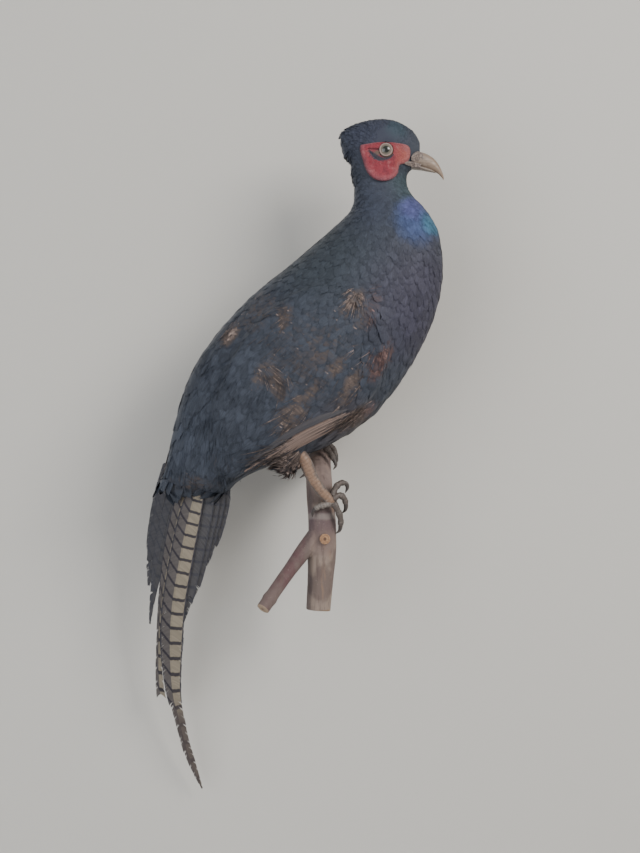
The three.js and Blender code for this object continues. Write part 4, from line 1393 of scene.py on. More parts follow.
def wattle_finish():
    made, tree, shader = new_material("red velvety wattle")
    where = object_place(tree)
    spot = new_node(tree, "SeparateXYZ", Vector=where).outputs
    warm = soft_step(tree, spot["X"], 64 * MM, 82 * MM)
    red = blend(tree, warm, (0.275, 0.034, 0.048), (0.375, 0.100, 0.076))
    blotch = noise(tree, where, 170.0, detail=4)
    red = tinted(tree, red, blotch, 0.52, 0.72, 0.5, (0.43, 0.165, 0.165))
    red = tinted(tree, red, blotch, 0.46, 0.30, 0.65, (0.155, 0.018, 0.032))
    dusky = noise(tree, where, 75.0, detail=2)
    red = tinted(tree, red, dusky, 0.52, 0.66, 0.4, (0.17, 0.055, 0.075))
    # painted highlight: the rim mark paints the swollen ridge of the wattle pale pink, where it catches the
    # light
    rim = attribute(tree, "rim")
    red = blend(tree, times(tree, rim, 0.28), red, (0.40, 0.15, 0.165))
    papilla = cell_distance(tree, where, 1150.0)
    gaps = soft_step(tree, papilla, 0.25, 0.75)
    red = blend(tree, times(tree, gaps, 0.4), red, (0.12, 0.012, 0.020))
    pimple = times(tree, soft_step(tree, papilla, 0.22, 0.1), warm)
    red = blend(tree, times(tree, pimple, 0.5), red, (0.52, 0.20, 0.10))
    outer = times(tree, attribute(tree, "outer"), soft_step(tree, dusky, 0.3, 0.6, 0.25, 0.8))
    red = blend(tree, outer, red, (0.155, 0.075, 0.095))
    # painted shade: the dark red of the crease lies in the fold behind the eye, and that of the edge where
    # the wattle's edge turns under the feathers
    for key, colour, share in (
        ("corner", (0.125, 0.092, 0.070), 0.9), ("crease", (0.090, 0.010, 0.018), 0.85),
        ("under", (0.135, 0.150, 0.215), 0.7), ("crescent", (0.024, 0.025, 0.037), 0.97),
        ("edge", (0.06, 0.012, 0.02), 0.75),
    ):
        red = blend(tree, times(tree, attribute(tree, key), share), red, colour)
    feed(tree, shader["Base Color"], red)
    shader["Roughness"].default_value = 0.66
    shader["Subsurface Weight"].default_value = 0.08
    shader["Subsurface Radius"].default_value = (0.002, 0.0008, 0.0006)
    shader["Sheen Weight"].default_value = 0.12
    shader["Specular IOR Level"].default_value = 0.35
    bump(tree, shader, calculate(tree, "SUBTRACT", 1.0, papilla), 0.9, 0.5 * MM)
    return made


wattle_red = wattle_finish()


def near_line(fine, at):
    """1 on a line of x, z and half thickness, falling to 0 just beside it, at a point (x, z)."""
    away = np.hypot(fine[:, 0] - at[0], fine[:, 1] - at[1])
    k = away.argmin()
    return float(np.clip(1.5 - away[k] / max(fine[k, 2], 1e-6), 0, 1))


face_lines = [smooth_line(line, 60)[0] for line in (CRESCENT, UNDER_LINE, EYE_CREASE)]


def wattle(side):
    centre = EYE_PLACE[side]
    chance = np.random.default_rng(7)
    waves = chance.uniform(0, 2 * math.pi, (9, 2))
    places = []
    marks = {}
    for j in range(WATTLE_SPOKES):
        angle = 2 * math.pi * j / WATTLE_SPOKES
        way = np.array([math.cos(angle), math.sin(angle)])
        from_eye = outline_fine - np.array([centre.x, centre.z])
        turn = (from_eye @ np.array([-way[1], way[0]])) / np.linalg.norm(from_eye, axis=1)
        ahead = from_eye @ way > 0
        edge = np.linalg.norm(from_eye[ahead][np.argmin(np.abs(turn[ahead]))])
        for k in range(WATTLE_RINGS + 1):
            r = k / WATTLE_RINGS
            reach = LID_OPENING * 0.98 + (edge - LID_OPENING * 0.98) * r
            x, z = centre.x + way[0] * reach, centre.z + way[1] * reach
            y = side_of(head_tree, x, z, side, places[-1][1] if places else centre.y)
            out = abs(y - HEAD_MEDIAN)
            low = max(0.0, -way[1])  # 1 under the eye
            swell = 0.9 + 1.1 * math.exp(-(((r - 0.84) / 0.13) ** 2)) * (0.35 + 0.65 * low)
            swell += 0.5 * math.exp(-(((r - 0.42) / 0.2) ** 2)) * low
            swell *= min(1, (1 - r) / 0.07) ** 0.5
            swell -= 0.75 * math.exp(-((r / 0.07) ** 2))
            bumps = sum(
                math.sin(900 * (x * math.cos(p) + z * math.sin(p)) * (1 + 0.13 * n) + q)
                for n, (p, q) in enumerate(waves)
            ) / 9
            swell += 0.55 * bumps * min(1, 3 * r) * min(1, 8 * (1 - r))
            at = ((x - centre.x) / MM, (z - centre.z) / MM)
            crescent, under_line, crease = (near_line(line, at) for line in face_lines)
            swell += 0.35 * crescent - 0.6 * under_line - 0.9 * crease
            places.append((x, HEAD_MEDIAN + SIDES[side] * (out + swell * MM), z))
            aside, above = (at[0] - EYE_CORNER[0]) / EYE_CORNER[2], (at[1] - EYE_CORNER[1]) / EYE_CORNER[3]
            off_corner = math.hypot(aside, above)
            here = {
                # rim marks the swollen ridge that takes the painted highlight
                "rim": math.exp(-(((r - 0.86) / 0.1) ** 2)),
                "crescent": crescent,
                "under": under_line,
                "crease": crease,
                "corner": min(1, max(0, 1.6 - off_corner)),
                # edge marks the outermost band, darkened with painted shade where the wattle turns under the
                # feathers
                "edge": max(0, (r - 0.955) / 0.045),
                "outer": max(0, (r - 0.86) / 0.14) * (0.45 + 0.55 * (way[0] < 0.3)),
            }
            for key, value in here.items():
                marks.setdefault(key, []).append(value)
    top = np.array(places)
    under = top.copy()
    under[:, 1] -= SIDES[side] * 1.5 * MM
    n = WATTLE_RINGS + 1
    count = len(top)
    faces = []
    for j in range(WATTLE_SPOKES):
        here, there = j * n, (j + 1) % WATTLE_SPOKES * n
        for k in range(WATTLE_RINGS):
            quad = [here + k, here + k + 1, there + k + 1, there + k]
            faces += [quad, [q + count for q in reversed(quad)]]
        faces.append([here + n - 1, here + n - 1 + count, there + n - 1 + count, there + n - 1])
        faces.append([here, there, there + count, here + count])
    flat_map = np.stack([(top[:, 0] - 30 * MM) / 0.06, (top[:, 2] - 0.24) / 0.06], 1)
    flat_map = np.vstack([flat_map * 0.48, flat_map * 0.48 + 0.5])
    faces = np.array(faces)
    piece = mesh_piece(
        f"wattle_skin_{side}", np.vstack([top, under]), faces, {"UVMap": flat_map[faces]},
        {key: np.tile(values, 2) for key, values in marks.items()}, wattle_red,
    )
    face_outward(piece)
    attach(piece, "root")
    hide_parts(f"wattle_{side}")
    return piece


for side in SIDES:
    skin_of_face = wattle(side)
    corners, _ = triangles_of(skin_of_face.data)
    face_tree = search_tree(coordinates(skin_of_face.data), corners)
    chance = np.random.default_rng(9)
    line, _ = smooth_line(CRESCENT, 400)
    picked = line[chance.integers(0, 400, 900)]
    spread = chance.normal(0, 0.5, (900, 2)) * picked[:, 2:3]
    flat = picked[:, :2] + spread
    roots = np.stack([EYE_PLACE[side].x + flat[:, 0] * MM, np.full(900, HEAD_MEDIAN + SIDES[side] * 0.02),
                      EYE_PLACE[side].z + flat[:, 1] * MM], 1)
    roots = roots[thin_out(roots, np.full(900, 0.62 * MM))]
    on_face = np.array([side_of(face_tree, x, z, side, np.nan) for x, _, z in roots.tolist()])
    roots[:, 1] = on_face
    roots = roots[~np.isnan(on_face)]
    _, _, on_skin = nearest(skin_tree, roots)
    lay_feathers(
        f"coat_under_eye_{side}", SMALL,
        {"place": roots, "normal": np.tile([0.0, SIDES[side], 0.0], (len(roots), 1)),
         "uv": skin_uv[skin_loops[on_skin]].mean(1), "way": np.tile([-0.9, -0.43], (len(roots), 1)),
         "length": np.full(len(roots), 1.9 * MM), "lift": np.full(len(roots), math.radians(14))},
        0.6, crescent_feather, 140, tree=face_tree,
    )


# %% [markdown]
# ## The eyes
# A glass eye is a plain ball: its dark pupil and pale iris are rings of colour round the way it looks. A
# low, pale ring of skin stands for the lids and hides where the ball leaves the face.

# %% Eyes and lids
def eye_finish(side):
    made, tree, shader = new_material(f"glass eye {side}")
    where = object_place(tree)
    away = vector(tree, "SUBTRACT", where, EYE_PLACE[side])
    spot = new_node(tree, "SeparateXYZ", Vector=away).outputs
    radius = vector(tree, "LENGTH", combined(tree, spot["X"], z=spot["Z"]))
    outward = soft_step(tree, radius, 2.8 * MM, 4.9 * MM)
    iris = blend(tree, outward, (0.070, 0.070, 0.052), (0.200, 0.170, 0.130))
    rays = noise(tree, where, 700.0, detail=4)
    iris = tinted(tree, iris, rays, 0.4, 0.65, 0.4, (0.135, 0.115, 0.085))
    pupil = soft_step(tree, radius, 3.05 * MM, 2.75 * MM)
    feed(tree, shader["Base Color"], blend(tree, pupil, iris, (0.011, 0.013, 0.009)))
    shader["Roughness"].default_value = 0.12
    shader["Coat Weight"].default_value = 0.4
    shader["Coat Roughness"].default_value = 0.04
    return made


def bare_skin(name, scale, detail, limits, dark, pale, roughness):
    """Thin skin with a fine grain; limits are where the grain turns from dark to pale, or None."""
    made, tree, shader = new_material(name)
    grain = noise(tree, object_place(tree), scale, detail=detail)
    share = soft_step(tree, grain, *limits) if limits else grain
    feed(tree, shader["Base Color"], blend(tree, share, dark, pale))
    shader["Roughness"].default_value = roughness
    bump(tree, shader, grain, 0.5, 0.2 * MM)
    return made


lid_finish = bare_skin("pale pink eyelid", 1300.0, 3, None, (0.20, 0.125, 0.11), (0.38, 0.285, 0.25), 0.5)
for side in SIDES:
    deselect()
    bpy.ops.mesh.primitive_uv_sphere_add(
        segments=64, ring_count=40, radius=EYE_RADIUS, location=EYE_PLACE[side],
    )
    ball = bpy.context.object
    ball.name = f"eye_glass_{side}"
    bpy.ops.object.transform_apply(location=True, rotation=False, scale=False)
    bpy.ops.object.shade_smooth()
    ball.data.materials.append(eye_finish(side))
    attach(ball, "root")
    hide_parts(f"eye_{side}")

    depth = math.sqrt(EYE_RADIUS**2 - LID_OPENING**2)
    ring_place = EYE_PLACE[side] + Vector((0, SIDES[side] * (depth + 0.35 * MM), 0))
    bpy.ops.mesh.primitive_torus_add(
        location=ring_place, rotation=(math.pi / 2, 0, 0), major_radius=LID_OPENING - 0.1 * MM,
        minor_radius=0.66 * MM, major_segments=72, minor_segments=14,
    )
    lids = bpy.context.object
    lids.name = f"lids_{side}"
    bpy.ops.object.transform_apply(location=True, rotation=True, scale=False)
    bpy.ops.object.shade_smooth()
    lids.data.materials.append(lid_finish)
    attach(lids, "root")


# %% [markdown]
# ## The bill
# The bill is horn: two smooth curved halves with a fine grain along them. Each half is lofted through a
# few stations from the root to the tip, and the nostril's flap and slit are a low bump and a dent of its
# side. Soft skin covers the corner of the bill and the place behind the nostril.

# %% Bill
# tinted spots: x, z, half the length and height, and the colour: the flap over the nostril, the slit, the
# root. The slit's dark, in two spots, is painted shade in the nostril's opening.
NOSTRIL_TINTS = [
    (86.5, 273.5, 5.5, 7, (0.115, 0.088, 0.080)), (93.6, 276, 2.4, 3.0, (0.40, 0.29, 0.25)),
    # the slit's two dark spots: painted shade in the nostril's opening
    (90.2, 271.8, 2.8, 0.9, (0.040, 0.030, 0.028)), (95.9, 272.3, 0.7, 1.5, (0.075, 0.055, 0.048)),
]


def horn_finish(name, root_colour, tip_colour):
    made, tree, shader = new_material(name)
    where = object_place(tree)
    spot = new_node(tree, "SeparateXYZ", Vector=where).outputs
    colour = blend(tree, soft_step(tree, spot["X"], 88 * MM, 112 * MM), root_colour, tip_colour)
    squeezed = vector(tree, "MULTIPLY", where, (0.35, 1.0, 1.3))
    grain = noise(tree, squeezed, 700.0, detail=5)
    colour = tinted(tree, colour, grain, 0.45, 0.7, 0.5, (0.13, 0.09, 0.065))
    for at_x, at_z, wide, tall, tint in NOSTRIL_TINTS:
        moved = vector(tree, "SUBTRACT", where, (at_x * MM, 0, at_z * MM))
        away = vector(tree, "LENGTH", vector(tree, "MULTIPLY", moved, (1 / (wide * MM), 0, 1 / (tall * MM))))
        colour = tinted(tree, colour, away, 1.25, 0.6, 0.85, tint)
    feed(tree, shader["Base Color"], colour)
    feed(tree, shader["Roughness"], soft_step(tree, grain, 0.3, 0.7, 0.36, 0.52))
    bump(tree, shader, grain, 0.3, 0.15 * MM)
    return made


upper_horn = horn_finish("tan upper bill", (0.25, 0.195, 0.155), (0.235, 0.165, 0.115))
lower_horn = horn_finish("grey lower bill", (0.235, 0.195, 0.165), (0.23, 0.175, 0.135))

# stations from the root to the tip: x, z of the ridge, x, z of the cutting edge, half the width (mm)
UPPER_BILL = [
    (84, 280.6, 79, 266.6, 7.4), (93.3, 278.8, 88.3, 265.6, 6.4), (98.6, 277.3, 94.5, 264.6, 5.7),
    (103.6, 274.7, 100.2, 263.2, 4.9), (107.6, 271.4, 104.8, 261.6, 4.1), (111, 266.9, 108.4, 259.8, 3.2),
    (113.4, 262, 111.2, 257.9, 2.3), (115.2, 257.4, 113.6, 255.3, 1.3), (115.9, 253.6, 115.3, 252.9, 0.4),
]
LOWER_BILL = [
    (80, 267.2, 79.5, 262.6, 6.3), (88.3, 266.6, 88, 262.9, 5.6), (94.6, 265.5, 94.2, 262.0, 5.0),
    (100.3, 264, 99.6, 260.9, 4.1), (104.8, 262.2, 104.2, 260, 3.1), (108.2, 260.2, 108, 259.2, 1.4),
]
NOSTRIL_FLAP, NOSTRIL_SLIT = (93.4, 275.2, 2.3, 3.0, 1.3), (90.2, 271.9, 3.0, 0.8, -1.5)


def bill_half(name, stations, fullness, material, features=()):
    """A horn through stations, closed at both ends. features are bumps: x, z, half sizes and how far out."""
    steps, spokes = 72, 40
    line, _ = smooth_line(np.array(stations), steps)
    line *= MM
    angles = np.linspace(0, 2 * math.pi, spokes, endpoint=False)
    across = np.sign(np.sin(angles)) * np.abs(np.sin(angles)) ** fullness
    up = np.cos(angles)
    top, bottom = line[:, None, :2], line[:, None, 2:4]
    flat = (top + bottom) / 2 + (top - bottom) / 2 * up[None, :, None]
    half = line[:, 4][:, None] * across[None, :] * (1 - 0.10 * up)[None, :]
    for at_x, at_z, wide, tall, out in features:
        reach = ((flat[:, :, 0] / MM - at_x) / wide) ** 2 + ((flat[:, :, 1] / MM - at_z) / tall) ** 2
        half += np.sign(half) * out * MM * np.exp(-(reach ** 1.5))
    places = np.stack([flat[:, :, 0], HEAD_MEDIAN + half, flat[:, :, 1]], 2).reshape(-1, 3)
    faces = ring_faces([(i * spokes, (i + 1) * spokes) for i in range(steps - 1)], spokes)
    faces += [tuple(range(spokes)), tuple(range(len(places) - spokes, len(places)))]
    made = new_object(name, places.tolist(), faces, material)
    bpy.ops.object.shade_smooth_by_angle(angle=math.radians(45))
    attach(made, "root")
    return made


upper_bill = bill_half("horn_bill_upper", UPPER_BILL, 0.85, upper_horn, (NOSTRIL_FLAP, NOSTRIL_SLIT))
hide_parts("bill_upper")
lower_bill = bill_half("horn_bill_lower", LOWER_BILL, 0.8, lower_horn)
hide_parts("bill_lower")
# soft skin at the corner of the bill and behind the nostril: x, z and half the height (mm), and how far
# it swells
SOFT_SKIN = {
    "gape": (
        [(78.6, 266.3, 0.4), (81.5, 266.2, 1.4), (85.5, 266.0, 2.0), (90, 265.6, 2.2), (94.5, 264.6, 1.6)],
        0.9,
    ),
    "cere": (
        [(85, 270.6, 1.0), (87, 271.6, 3.6), (90, 272.9, 4.6), (93.2, 274.2, 3.4), (96, 275.2, 1.0)],
        0.45,
    ),
}
gape_limits, gape_dark, gape_pale = (0.4, 0.65), (0.118, 0.090, 0.080), (0.270, 0.210, 0.178)
gape_finish = bare_skin("pale skin of the gape", 620.0, 4, gape_limits, gape_dark, gape_pale, 0.6)
SOFT_STEPS, SOFT_COLUMNS = 40, 9
SOFT_FOLD = SOFT_COLUMNS // 2  # the gape's fold runs down the middle column
BILL_SIDE = 5.6 * MM  # the soft skin stands at least as far out as the bill's side
for side in SIDES:
    for name, (stations, swell) in SOFT_SKIN.items():
        line, _ = smooth_line(stations, SOFT_STEPS)
        places = []
        for x, z, half in line.tolist():
            for k in range(SOFT_COLUMNS):
                up = k / SOFT_FOLD - 1
                at_x, at_z = x * MM, (z + half * up) * MM
                on_head = side_of(head_tree, at_x, at_z, side, HEAD_MEDIAN)
                out = max(abs(on_head - HEAD_MEDIAN) * 0.98, BILL_SIDE)
                out += swell * MM * math.sqrt(max(0, 1 - up * up))
                out -= 0.9 * MM * (k == SOFT_FOLD) * (name == "gape")
                places.append((at_x, HEAD_MEDIAN + SIDES[side] * out, at_z))
        rows = [(i * SOFT_COLUMNS, (i + 1) * SOFT_COLUMNS) for i in range(SOFT_STEPS - 1)]
        quads = ring_faces(rows, SOFT_COLUMNS, closed=False)
        made = new_object(f"{name}_skin_{side}", places, quads, gape_finish)
        apply_modifier(made, "SOLIDIFY", thickness=1.6 * MM, offset=0.0)
        apply_modifier(made, "SUBSURF", levels=1, render_levels=1)
        bpy.ops.object.shade_smooth()
        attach(made, "root")
print("bill faces:", len(upper_bill.data.polygons), len(lower_bill.data.polygons))


# %% [markdown]
# ## Legs, toes, claws and spurs
# A pheasant's shank is clad in overlapping horny shields in front and small scales behind. Each shank and
# toe is a tapering tube, built ring by ring along its line, whose shields stand out a little at their
# lower edge.

# %% Horny finishes
def scale_finish(name, colours):
    """colours are those of the shields in front, of the small scales behind, and of the margins between; the
    front is the side turned to the room and the lamp, so the lighter front and the darker margins and back
    are partly painted light and shade.
    """
    front, back, sides = colours
    made, tree, shader = new_material(name)
    where = object_place(tree)
    spread = noise(tree, where, 130.0, detail=4)
    turned = attribute(tree, "front")
    ahead = calculate(tree, "MULTIPLY_ADD", spread, 0.9, calculate(tree, "SUBTRACT", turned, 0.45))
    colour = blend(tree, soft_step(tree, ahead, 0.35, 0.75), sides, front)
    colour = blend(tree, soft_step(tree, turned, -0.2, -0.7), colour, back)
    fine = noise(tree, where, 1100.0, detail=3)
    mottled = noise(tree, where, 330.0, detail=3)
    colour = tinted(tree, colour, mottled, 0.55, 0.72, 0.5, (0.30, 0.245, 0.21))
    colour = tinted(tree, colour, mottled, 0.46, 0.32, 0.5, (0.105, 0.070, 0.058))
    colour = tinted(tree, colour, fine, 0.5, 0.75, 0.45, (0.075, 0.055, 0.045))
    joint = attribute(tree, "joint")
    colour = blend(tree, times(tree, joint, 0.4), colour, (0.050, 0.038, 0.032))
    feed(tree, shader["Base Color"], colour)
    feed(tree, shader["Roughness"], soft_step(tree, fine, 0.3, 0.7, 0.45, 0.62))
    bump(tree, shader, fine, 0.35, 0.2 * MM)
    return made


SCALE_COLOURS = {
    "tan shank scales": ((0.232, 0.140, 0.090), (0.078, 0.062, 0.058), (0.122, 0.098, 0.086)),
    "grey toe scales": ((0.088, 0.070, 0.060), (0.050, 0.042, 0.038), (0.066, 0.054, 0.048)),
    "pale hind toe scales": ((0.190, 0.165, 0.145), (0.10, 0.085, 0.076), (0.150, 0.130, 0.115)),
    "dark claw horn": ((0.052, 0.042, 0.038), (0.042, 0.035, 0.032), (0.046, 0.038, 0.034)),
}
shank_scale, toe_scale, hind_scale, claw_horn = [scale_finish(*one) for one in SCALE_COLOURS.items()]

# x, y, z in mm: the shank's line, each toe's line and its claw's, and the spur's
LEGS = {
    "right": {
        "tarsus": [(-17.5, -121, 2), (-11, -119.5, -7.3), (-5.4, -117.5, -19.9), (2.2, -115, -31.5),
                   (14.5, -109.4, -45.5)],
        "inner": ([(13, -110, -37), (16.5, -108, -29.4), (21, -105, -25.6), (25.4, -102.5, -26)],
                  [(27, -101.5, -30), (25, -101, -35)]),
        "middle": ([(13.5, -111, -40), (19.4, -109, -36.6), (24.2, -106, -40), (25.6, -104, -46)],
                   [(25, -102, -50.5), (21.6, -100.5, -54)]),
        "outer": ([(14, -112, -43), (18.4, -110.3, -51), (20.8, -107.5, -59), (20.6, -104.5, -65.5)],
                  [(19.6, -102.4, -69.5), (16, -101.6, -72.5)]),
        "hind": ([(12, -111, -43.5), (7.4, -113.3, -45), (1.6, -113, -46.4), (-3, -111.6, -49.6)],
                 [(-4.9, -110.6, -53), (-5.2, -110.2, -56.5)]),
        "spur": [(-8, -118.6, -15), (-12.3, -118.5, -17.7), (-16.5, -118, -20.6)],
    },
    "left": {
        "tarsus": [(-30, -75.5, -5), (-22, -73, -1.5), (-13, -70, 4), (-3, -67, 9.5)],
        "inner": ([(-3, -69, 10), (4, -74, 9), (11, -79, 2), (15.5, -82, -6)],
                  [(16.5, -83, -10.5), (14, -83.5, -14)]),
        "middle": ([(-2, -66.5, 10.5), (6, -67, 11), (13.5, -68, 5.5), (16.8, -69, -2)],
                   [(17.4, -69.5, -6.5), (15, -70, -10)]),
        "outer": ([(-3, -64, 11), (5, -60, 12), (13, -56, 7), (16.8, -54, 0)],
                  [(17.6, -53.5, -4.5), (15.4, -53.5, -8)]),
        "hind": ([(-5, -67, 9), (-10, -65, 8.5), (-14.6, -63, 4), (-16.4, -62, -2)],
                 [(-16.4, -61.5, -6), (-14.6, -61.3, -9.2)]),
        "spur": [(-20, -74.4, -2.5), (-22.5, -76.5, -6), (-24.5, -78, -10)],
    },
}
SHANK_RADII = [6.6, 6.0, 5.3, 5.0, 4.6]
TOE_RADII = [3.5, 3.2, 2.6, 3.2, 2.5, 2.8, 2.1]
CLAW_RADII = [1.2, 2.1, 1.6, 0.25]
SPUR_RADII = [2.1, 1.3, 0.4]
# this side, turned to the room and the lamp, is painted lighter and the far side darker: painted light and
# shade on top of the shields' own colours
SHIELDS_AND_LIT_SIDE = (-0.1, -0.97, 0.2)  # the shields' side of every toe and shank is turned this way


def limb(name, line, radii, pitch, step, material, round_end=True, flatten=1.0):
    """A tapering tube. pitch is the length of its shields and step how far their edges stand out, in mm."""
    sides = 20
    rows = max(12, int(smooth_line(np.array(line) * MM, 50)[1] / (0.35 * MM)))
    middle, length = smooth_line(np.array(line) * MM, rows)
    along = unit(np.gradient(middle, axis=0))
    radius_line, _ = smooth_line([(k, r) for k, r in enumerate(radii)], 100)
    share = np.linspace(0, 1, rows)
    radius = np.interp(share * (len(radii) - 1), radius_line[:, 0], radius_line[:, 1]) * MM
    if round_end:
        into_end = ((share * length - length) / (1.2 * radius[-1]) + 1).clip(0, 1)
        radius *= np.sqrt(np.clip(1 - into_end ** 2, 0.02, 1))
    sideways = unit(np.cross(along, np.array([0.1, 1.0, 0.05])))
    outward = np.cross(sideways, along)
    places, joints, fronts = [], [], []
    for j in range(sides):
        angle = 2 * math.pi * j / sides
        stagger = 0.5 * (math.sin(angle) < 0) * (pitch > 0)
        phase = (share * length / (pitch * MM) + stagger + 0.15 * math.cos(angle)) % 1 if pitch else 0 * share
        shield = step * MM * (phase - 0.5) * (phase < 0.93) if pitch else 0 * share
        ring = sideways * math.cos(angle) + outward * math.sin(angle) * flatten
        places.append(middle + ring * (radius + shield)[:, None])
        fronts.append(unit(ring) @ np.array(SHIELDS_AND_LIT_SIDE))
        joints.append((np.maximum(0, 1 - np.minimum(phase, 1 - phase) / 0.12)) if pitch else 0 * share)
    places = np.concatenate(places)
    caps = np.stack([middle[0], middle[-1]])
    faces = ring_faces([(j * rows, (j + 1) % sides * rows) for j in range(sides)], rows, closed=False)
    ends = []
    for j in range(sides):
        ends.append((sides * rows, j * rows, (j + 1) % sides * rows))
        ends.append((sides * rows + 1, (j + 1) % sides * rows + rows - 1, j * rows + rows - 1))
    caps_marks = [np.zeros(2)]
    marks = {"joint": np.concatenate(joints + caps_marks), "front": np.concatenate(fronts + caps_marks)}
    made = new_object(name, np.vstack([places, caps]).tolist(), faces + ends, material, marks)
    bpy.ops.object.shade_smooth_by_angle(angle=math.radians(40))
    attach(made, "root")
    return made


for side, leg in LEGS.items():
    shank = limb(f"foot_scales_{side}_shank", leg["tarsus"], SHANK_RADII, 3.3, 0.28, shank_scale, flatten=0.9)
    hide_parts(f"foot_{side}")
    for toe in ("inner", "middle", "outer", "hind"):
        path, claw = leg[toe]
        finish = hind_scale if toe == "hind" else toe_scale
        made = limb(f"foot_scales_{side}_{toe}", path, TOE_RADII, 2.2, 0.4, finish)
        claw_line = [path[-2], path[-1], *claw]
        horn = limb(f"claws_{side}_{toe}", claw_line, CLAW_RADII, 0, 0, claw_horn, round_end=False)
        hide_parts(f"claw_{side}_{toe}")
    spur = limb(f"claws_{side}_spur", leg["spur"], SPUR_RADII, 0, 0, claw_horn, round_end=False)
    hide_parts(f"spur_{side}")


# %% [markdown]
# ## The branch
# The mount is a piece of dead branch, sawn off at the foot, at the wall and at the end of its shoot. Its bark
# is thin and dry: low ridges along the grain, paler where it's rubbed, with pinkish brown patches. Its left
# side, away from the lamp, is darkened with painted shade.

# %% Branch
KNOT = Vector((6.4, -112.4, -76.5)) * MM
# the cut ends: the middle of the face, the way it faces
CUT_ENDS = {
    "foot": (Vector((0.2, -99, -143)) * MM, Vector((0.07, 0.03, -1))),
    "shoot": (Vector((-49.6, -138, -137.4)) * MM, Vector((-0.524, -0.430, -0.734))),
    "wall": (Vector((0, 0, 0)), Vector((0, 1, 0))),
}
CUT_DEPTH = 1.3 * MM


def along_and_off(tree, where, place, way):
    """How far a point lies along a way from a place, and how far off that line."""
    moved = vector(tree, "SUBTRACT", where, place)
    dot = vector(tree, "DOT_PRODUCT", moved, way)
    cross = vector(tree, "CROSS_PRODUCT", moved, way)
    return dot, vector(tree, "LENGTH", cross)


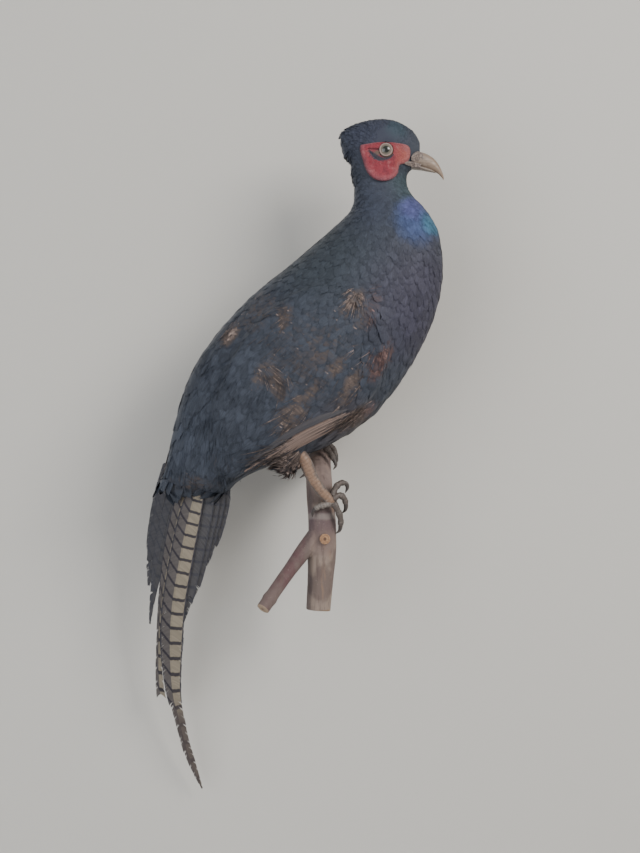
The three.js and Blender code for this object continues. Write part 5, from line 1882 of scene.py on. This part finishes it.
def bark_finish():
    made, tree, shader = new_material("dry bark")
    where = object_place(tree)
    spot = new_node(tree, "SeparateXYZ", Vector=where).outputs
    stretched = vector(tree, "MULTIPLY", where, (1, 1, 0.2))
    ridges = noise(tree, stretched, 260.0, detail=5, roughness=0.6)
    patches = noise(tree, where, 42.0, detail=3)
    streaks = noise(tree, stretched, 90.0, detail=3)
    fine = noise(tree, where, 800.0, detail=4)
    colour = blend(tree, soft_step(tree, patches, 0.42, 0.6), (0.138, 0.101, 0.086), (0.245, 0.188, 0.152))
    colour = tinted(tree, colour, streaks, 0.56, 0.68, 0.6, (0.270, 0.165, 0.100))
    height = spot["Z"]
    # painted shade: the stem's left side, away from the window lamp, is darker; the patches' noise makes its
    # border ragged
    shaded_left_side = calculate(tree, "MULTIPLY_ADD", patches, 9 * MM, spot["X"])
    colour = tinted(tree, colour, shaded_left_side, 1.5 * MM, -3.5 * MM, 0.62, (0.075, 0.055, 0.056))
    colour = tinted(tree, colour, height, -38 * MM, -22 * MM, 0.5, (0.265, 0.195, 0.180))
    under_foot = soft_step(tree, height, -46 * MM, -54 * MM)
    stained = times(tree, under_foot, soft_step(tree, height, -76 * MM, -66 * MM))
    stained = times(tree, stained, soft_step(tree, streaks, 0.62, 0.42, 0.25, 0.75))
    colour = blend(tree, stained, colour, (0.105, 0.068, 0.075))
    over_scar = calculate(tree, "ADD", height, 53 * MM)
    scar = calculate(tree, "ABSOLUTE", calculate(tree, "MULTIPLY_ADD", patches, 7 * MM, over_scar))
    colour = tinted(tree, colour, scar, 4 * MM, 1.5 * MM, 0.5, (0.27, 0.235, 0.21))
    on_shoot = soft_step(tree, spot["X"], -9 * MM, -14 * MM)
    reddish = times(tree, on_shoot, soft_step(tree, patches, 0.62, 0.44, 0.25, 0.9))
    colour = blend(tree, reddish, colour, (0.112, 0.056, 0.058))
    off_knot = vector(tree, "DISTANCE", where, KNOT)
    colour = tinted(tree, colour, off_knot, 24 * MM, 8 * MM, 0.5, (0.105, 0.062, 0.064))
    colour = tinted(tree, colour, ridges, 0.47, 0.32, 0.5, (0.085, 0.056, 0.050))
    colour = tinted(tree, colour, fine, 0.6, 0.78, 0.45, (0.36, 0.29, 0.25))
    ring = soft_step(tree, off_knot, 5.6 * MM, 4.5 * MM, 0, 0.9)
    ring_colour = blend(tree, soft_step(tree, fine, 0.35, 0.65), (0.26, 0.135, 0.070), (0.43, 0.255, 0.135))
    colour = blend(tree, ring, colour, ring_colour)
    off_groove = calculate(tree, "ABSOLUTE", calculate(tree, "SUBTRACT", off_knot, 3.2 * MM))
    groove = soft_step(tree, off_groove, 0.7 * MM, 0.2 * MM)
    colour = blend(tree, times(tree, groove, 0.55), colour, (0.22, 0.115, 0.06))
    colour = tinted(tree, colour, off_knot, 1.9 * MM, 1.2 * MM, 0.9, (0.085, 0.047, 0.032))
    for place, way in CUT_ENDS.values():
        ahead, off = along_and_off(tree, where, place, way)
        years = new_node(tree, "TexNoise", {"noise_dimensions": "1D"}, W=times(tree, off, 1500.0), Scale=1.0)
        pale_ring = soft_step(tree, years.outputs[0], 0.4, 0.6)
        wood = blend(tree, pale_ring, (0.23, 0.155, 0.105), (0.37, 0.28, 0.20))
        wood = tinted(tree, wood, off, 1.5 * MM, 1.0 * MM, 0.85, (0.075, 0.048, 0.036))
        near = soft_step(tree, ahead, -CUT_DEPTH, -0.6 * CUT_DEPTH)
        near = times(tree, near, soft_step(tree, off, 14 * MM, 13 * MM))
        colour = blend(tree, near, colour, wood)
    feed(tree, shader["Base Color"], colour)
    shader["Roughness"].default_value = 0.85
    both = calculate(tree, "MULTIPLY_ADD", fine, 0.4, ridges)
    bump(tree, shader, both, 0.6, 0.6 * MM)
    return made


branch = joined_copy(["branch_stem", "branch_shoot", "branch_knot"], "branch_bark")
apply_modifier(branch, "REMESH", mode="VOXEL", voxel_size=0.8 * MM)
apply_modifier(branch, "SMOOTH", factor=0.5, iterations=4)
end, way = CUT_ENDS["shoot"]
places, facing = coordinates(branch.data), normals_of(branch.data)
behind = (places - np.array(end)) @ np.array(way)
on_side = np.abs(facing @ np.array(way)) < 0.6
collar = np.exp(-(((behind + 12 * MM) / (3 * MM)) ** 2)) * (places[:, 0] < -30 * MM) * on_side
move_to(branch.data, places + facing * (0.7 * MM * collar)[:, None])
bpy.ops.object.shade_smooth()
branch.data.materials.append(bark_finish())
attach(branch, "root")
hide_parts("branch_stem", "branch_shoot", "branch_knot")
print("branch faces:", len(branch.data.polygons))
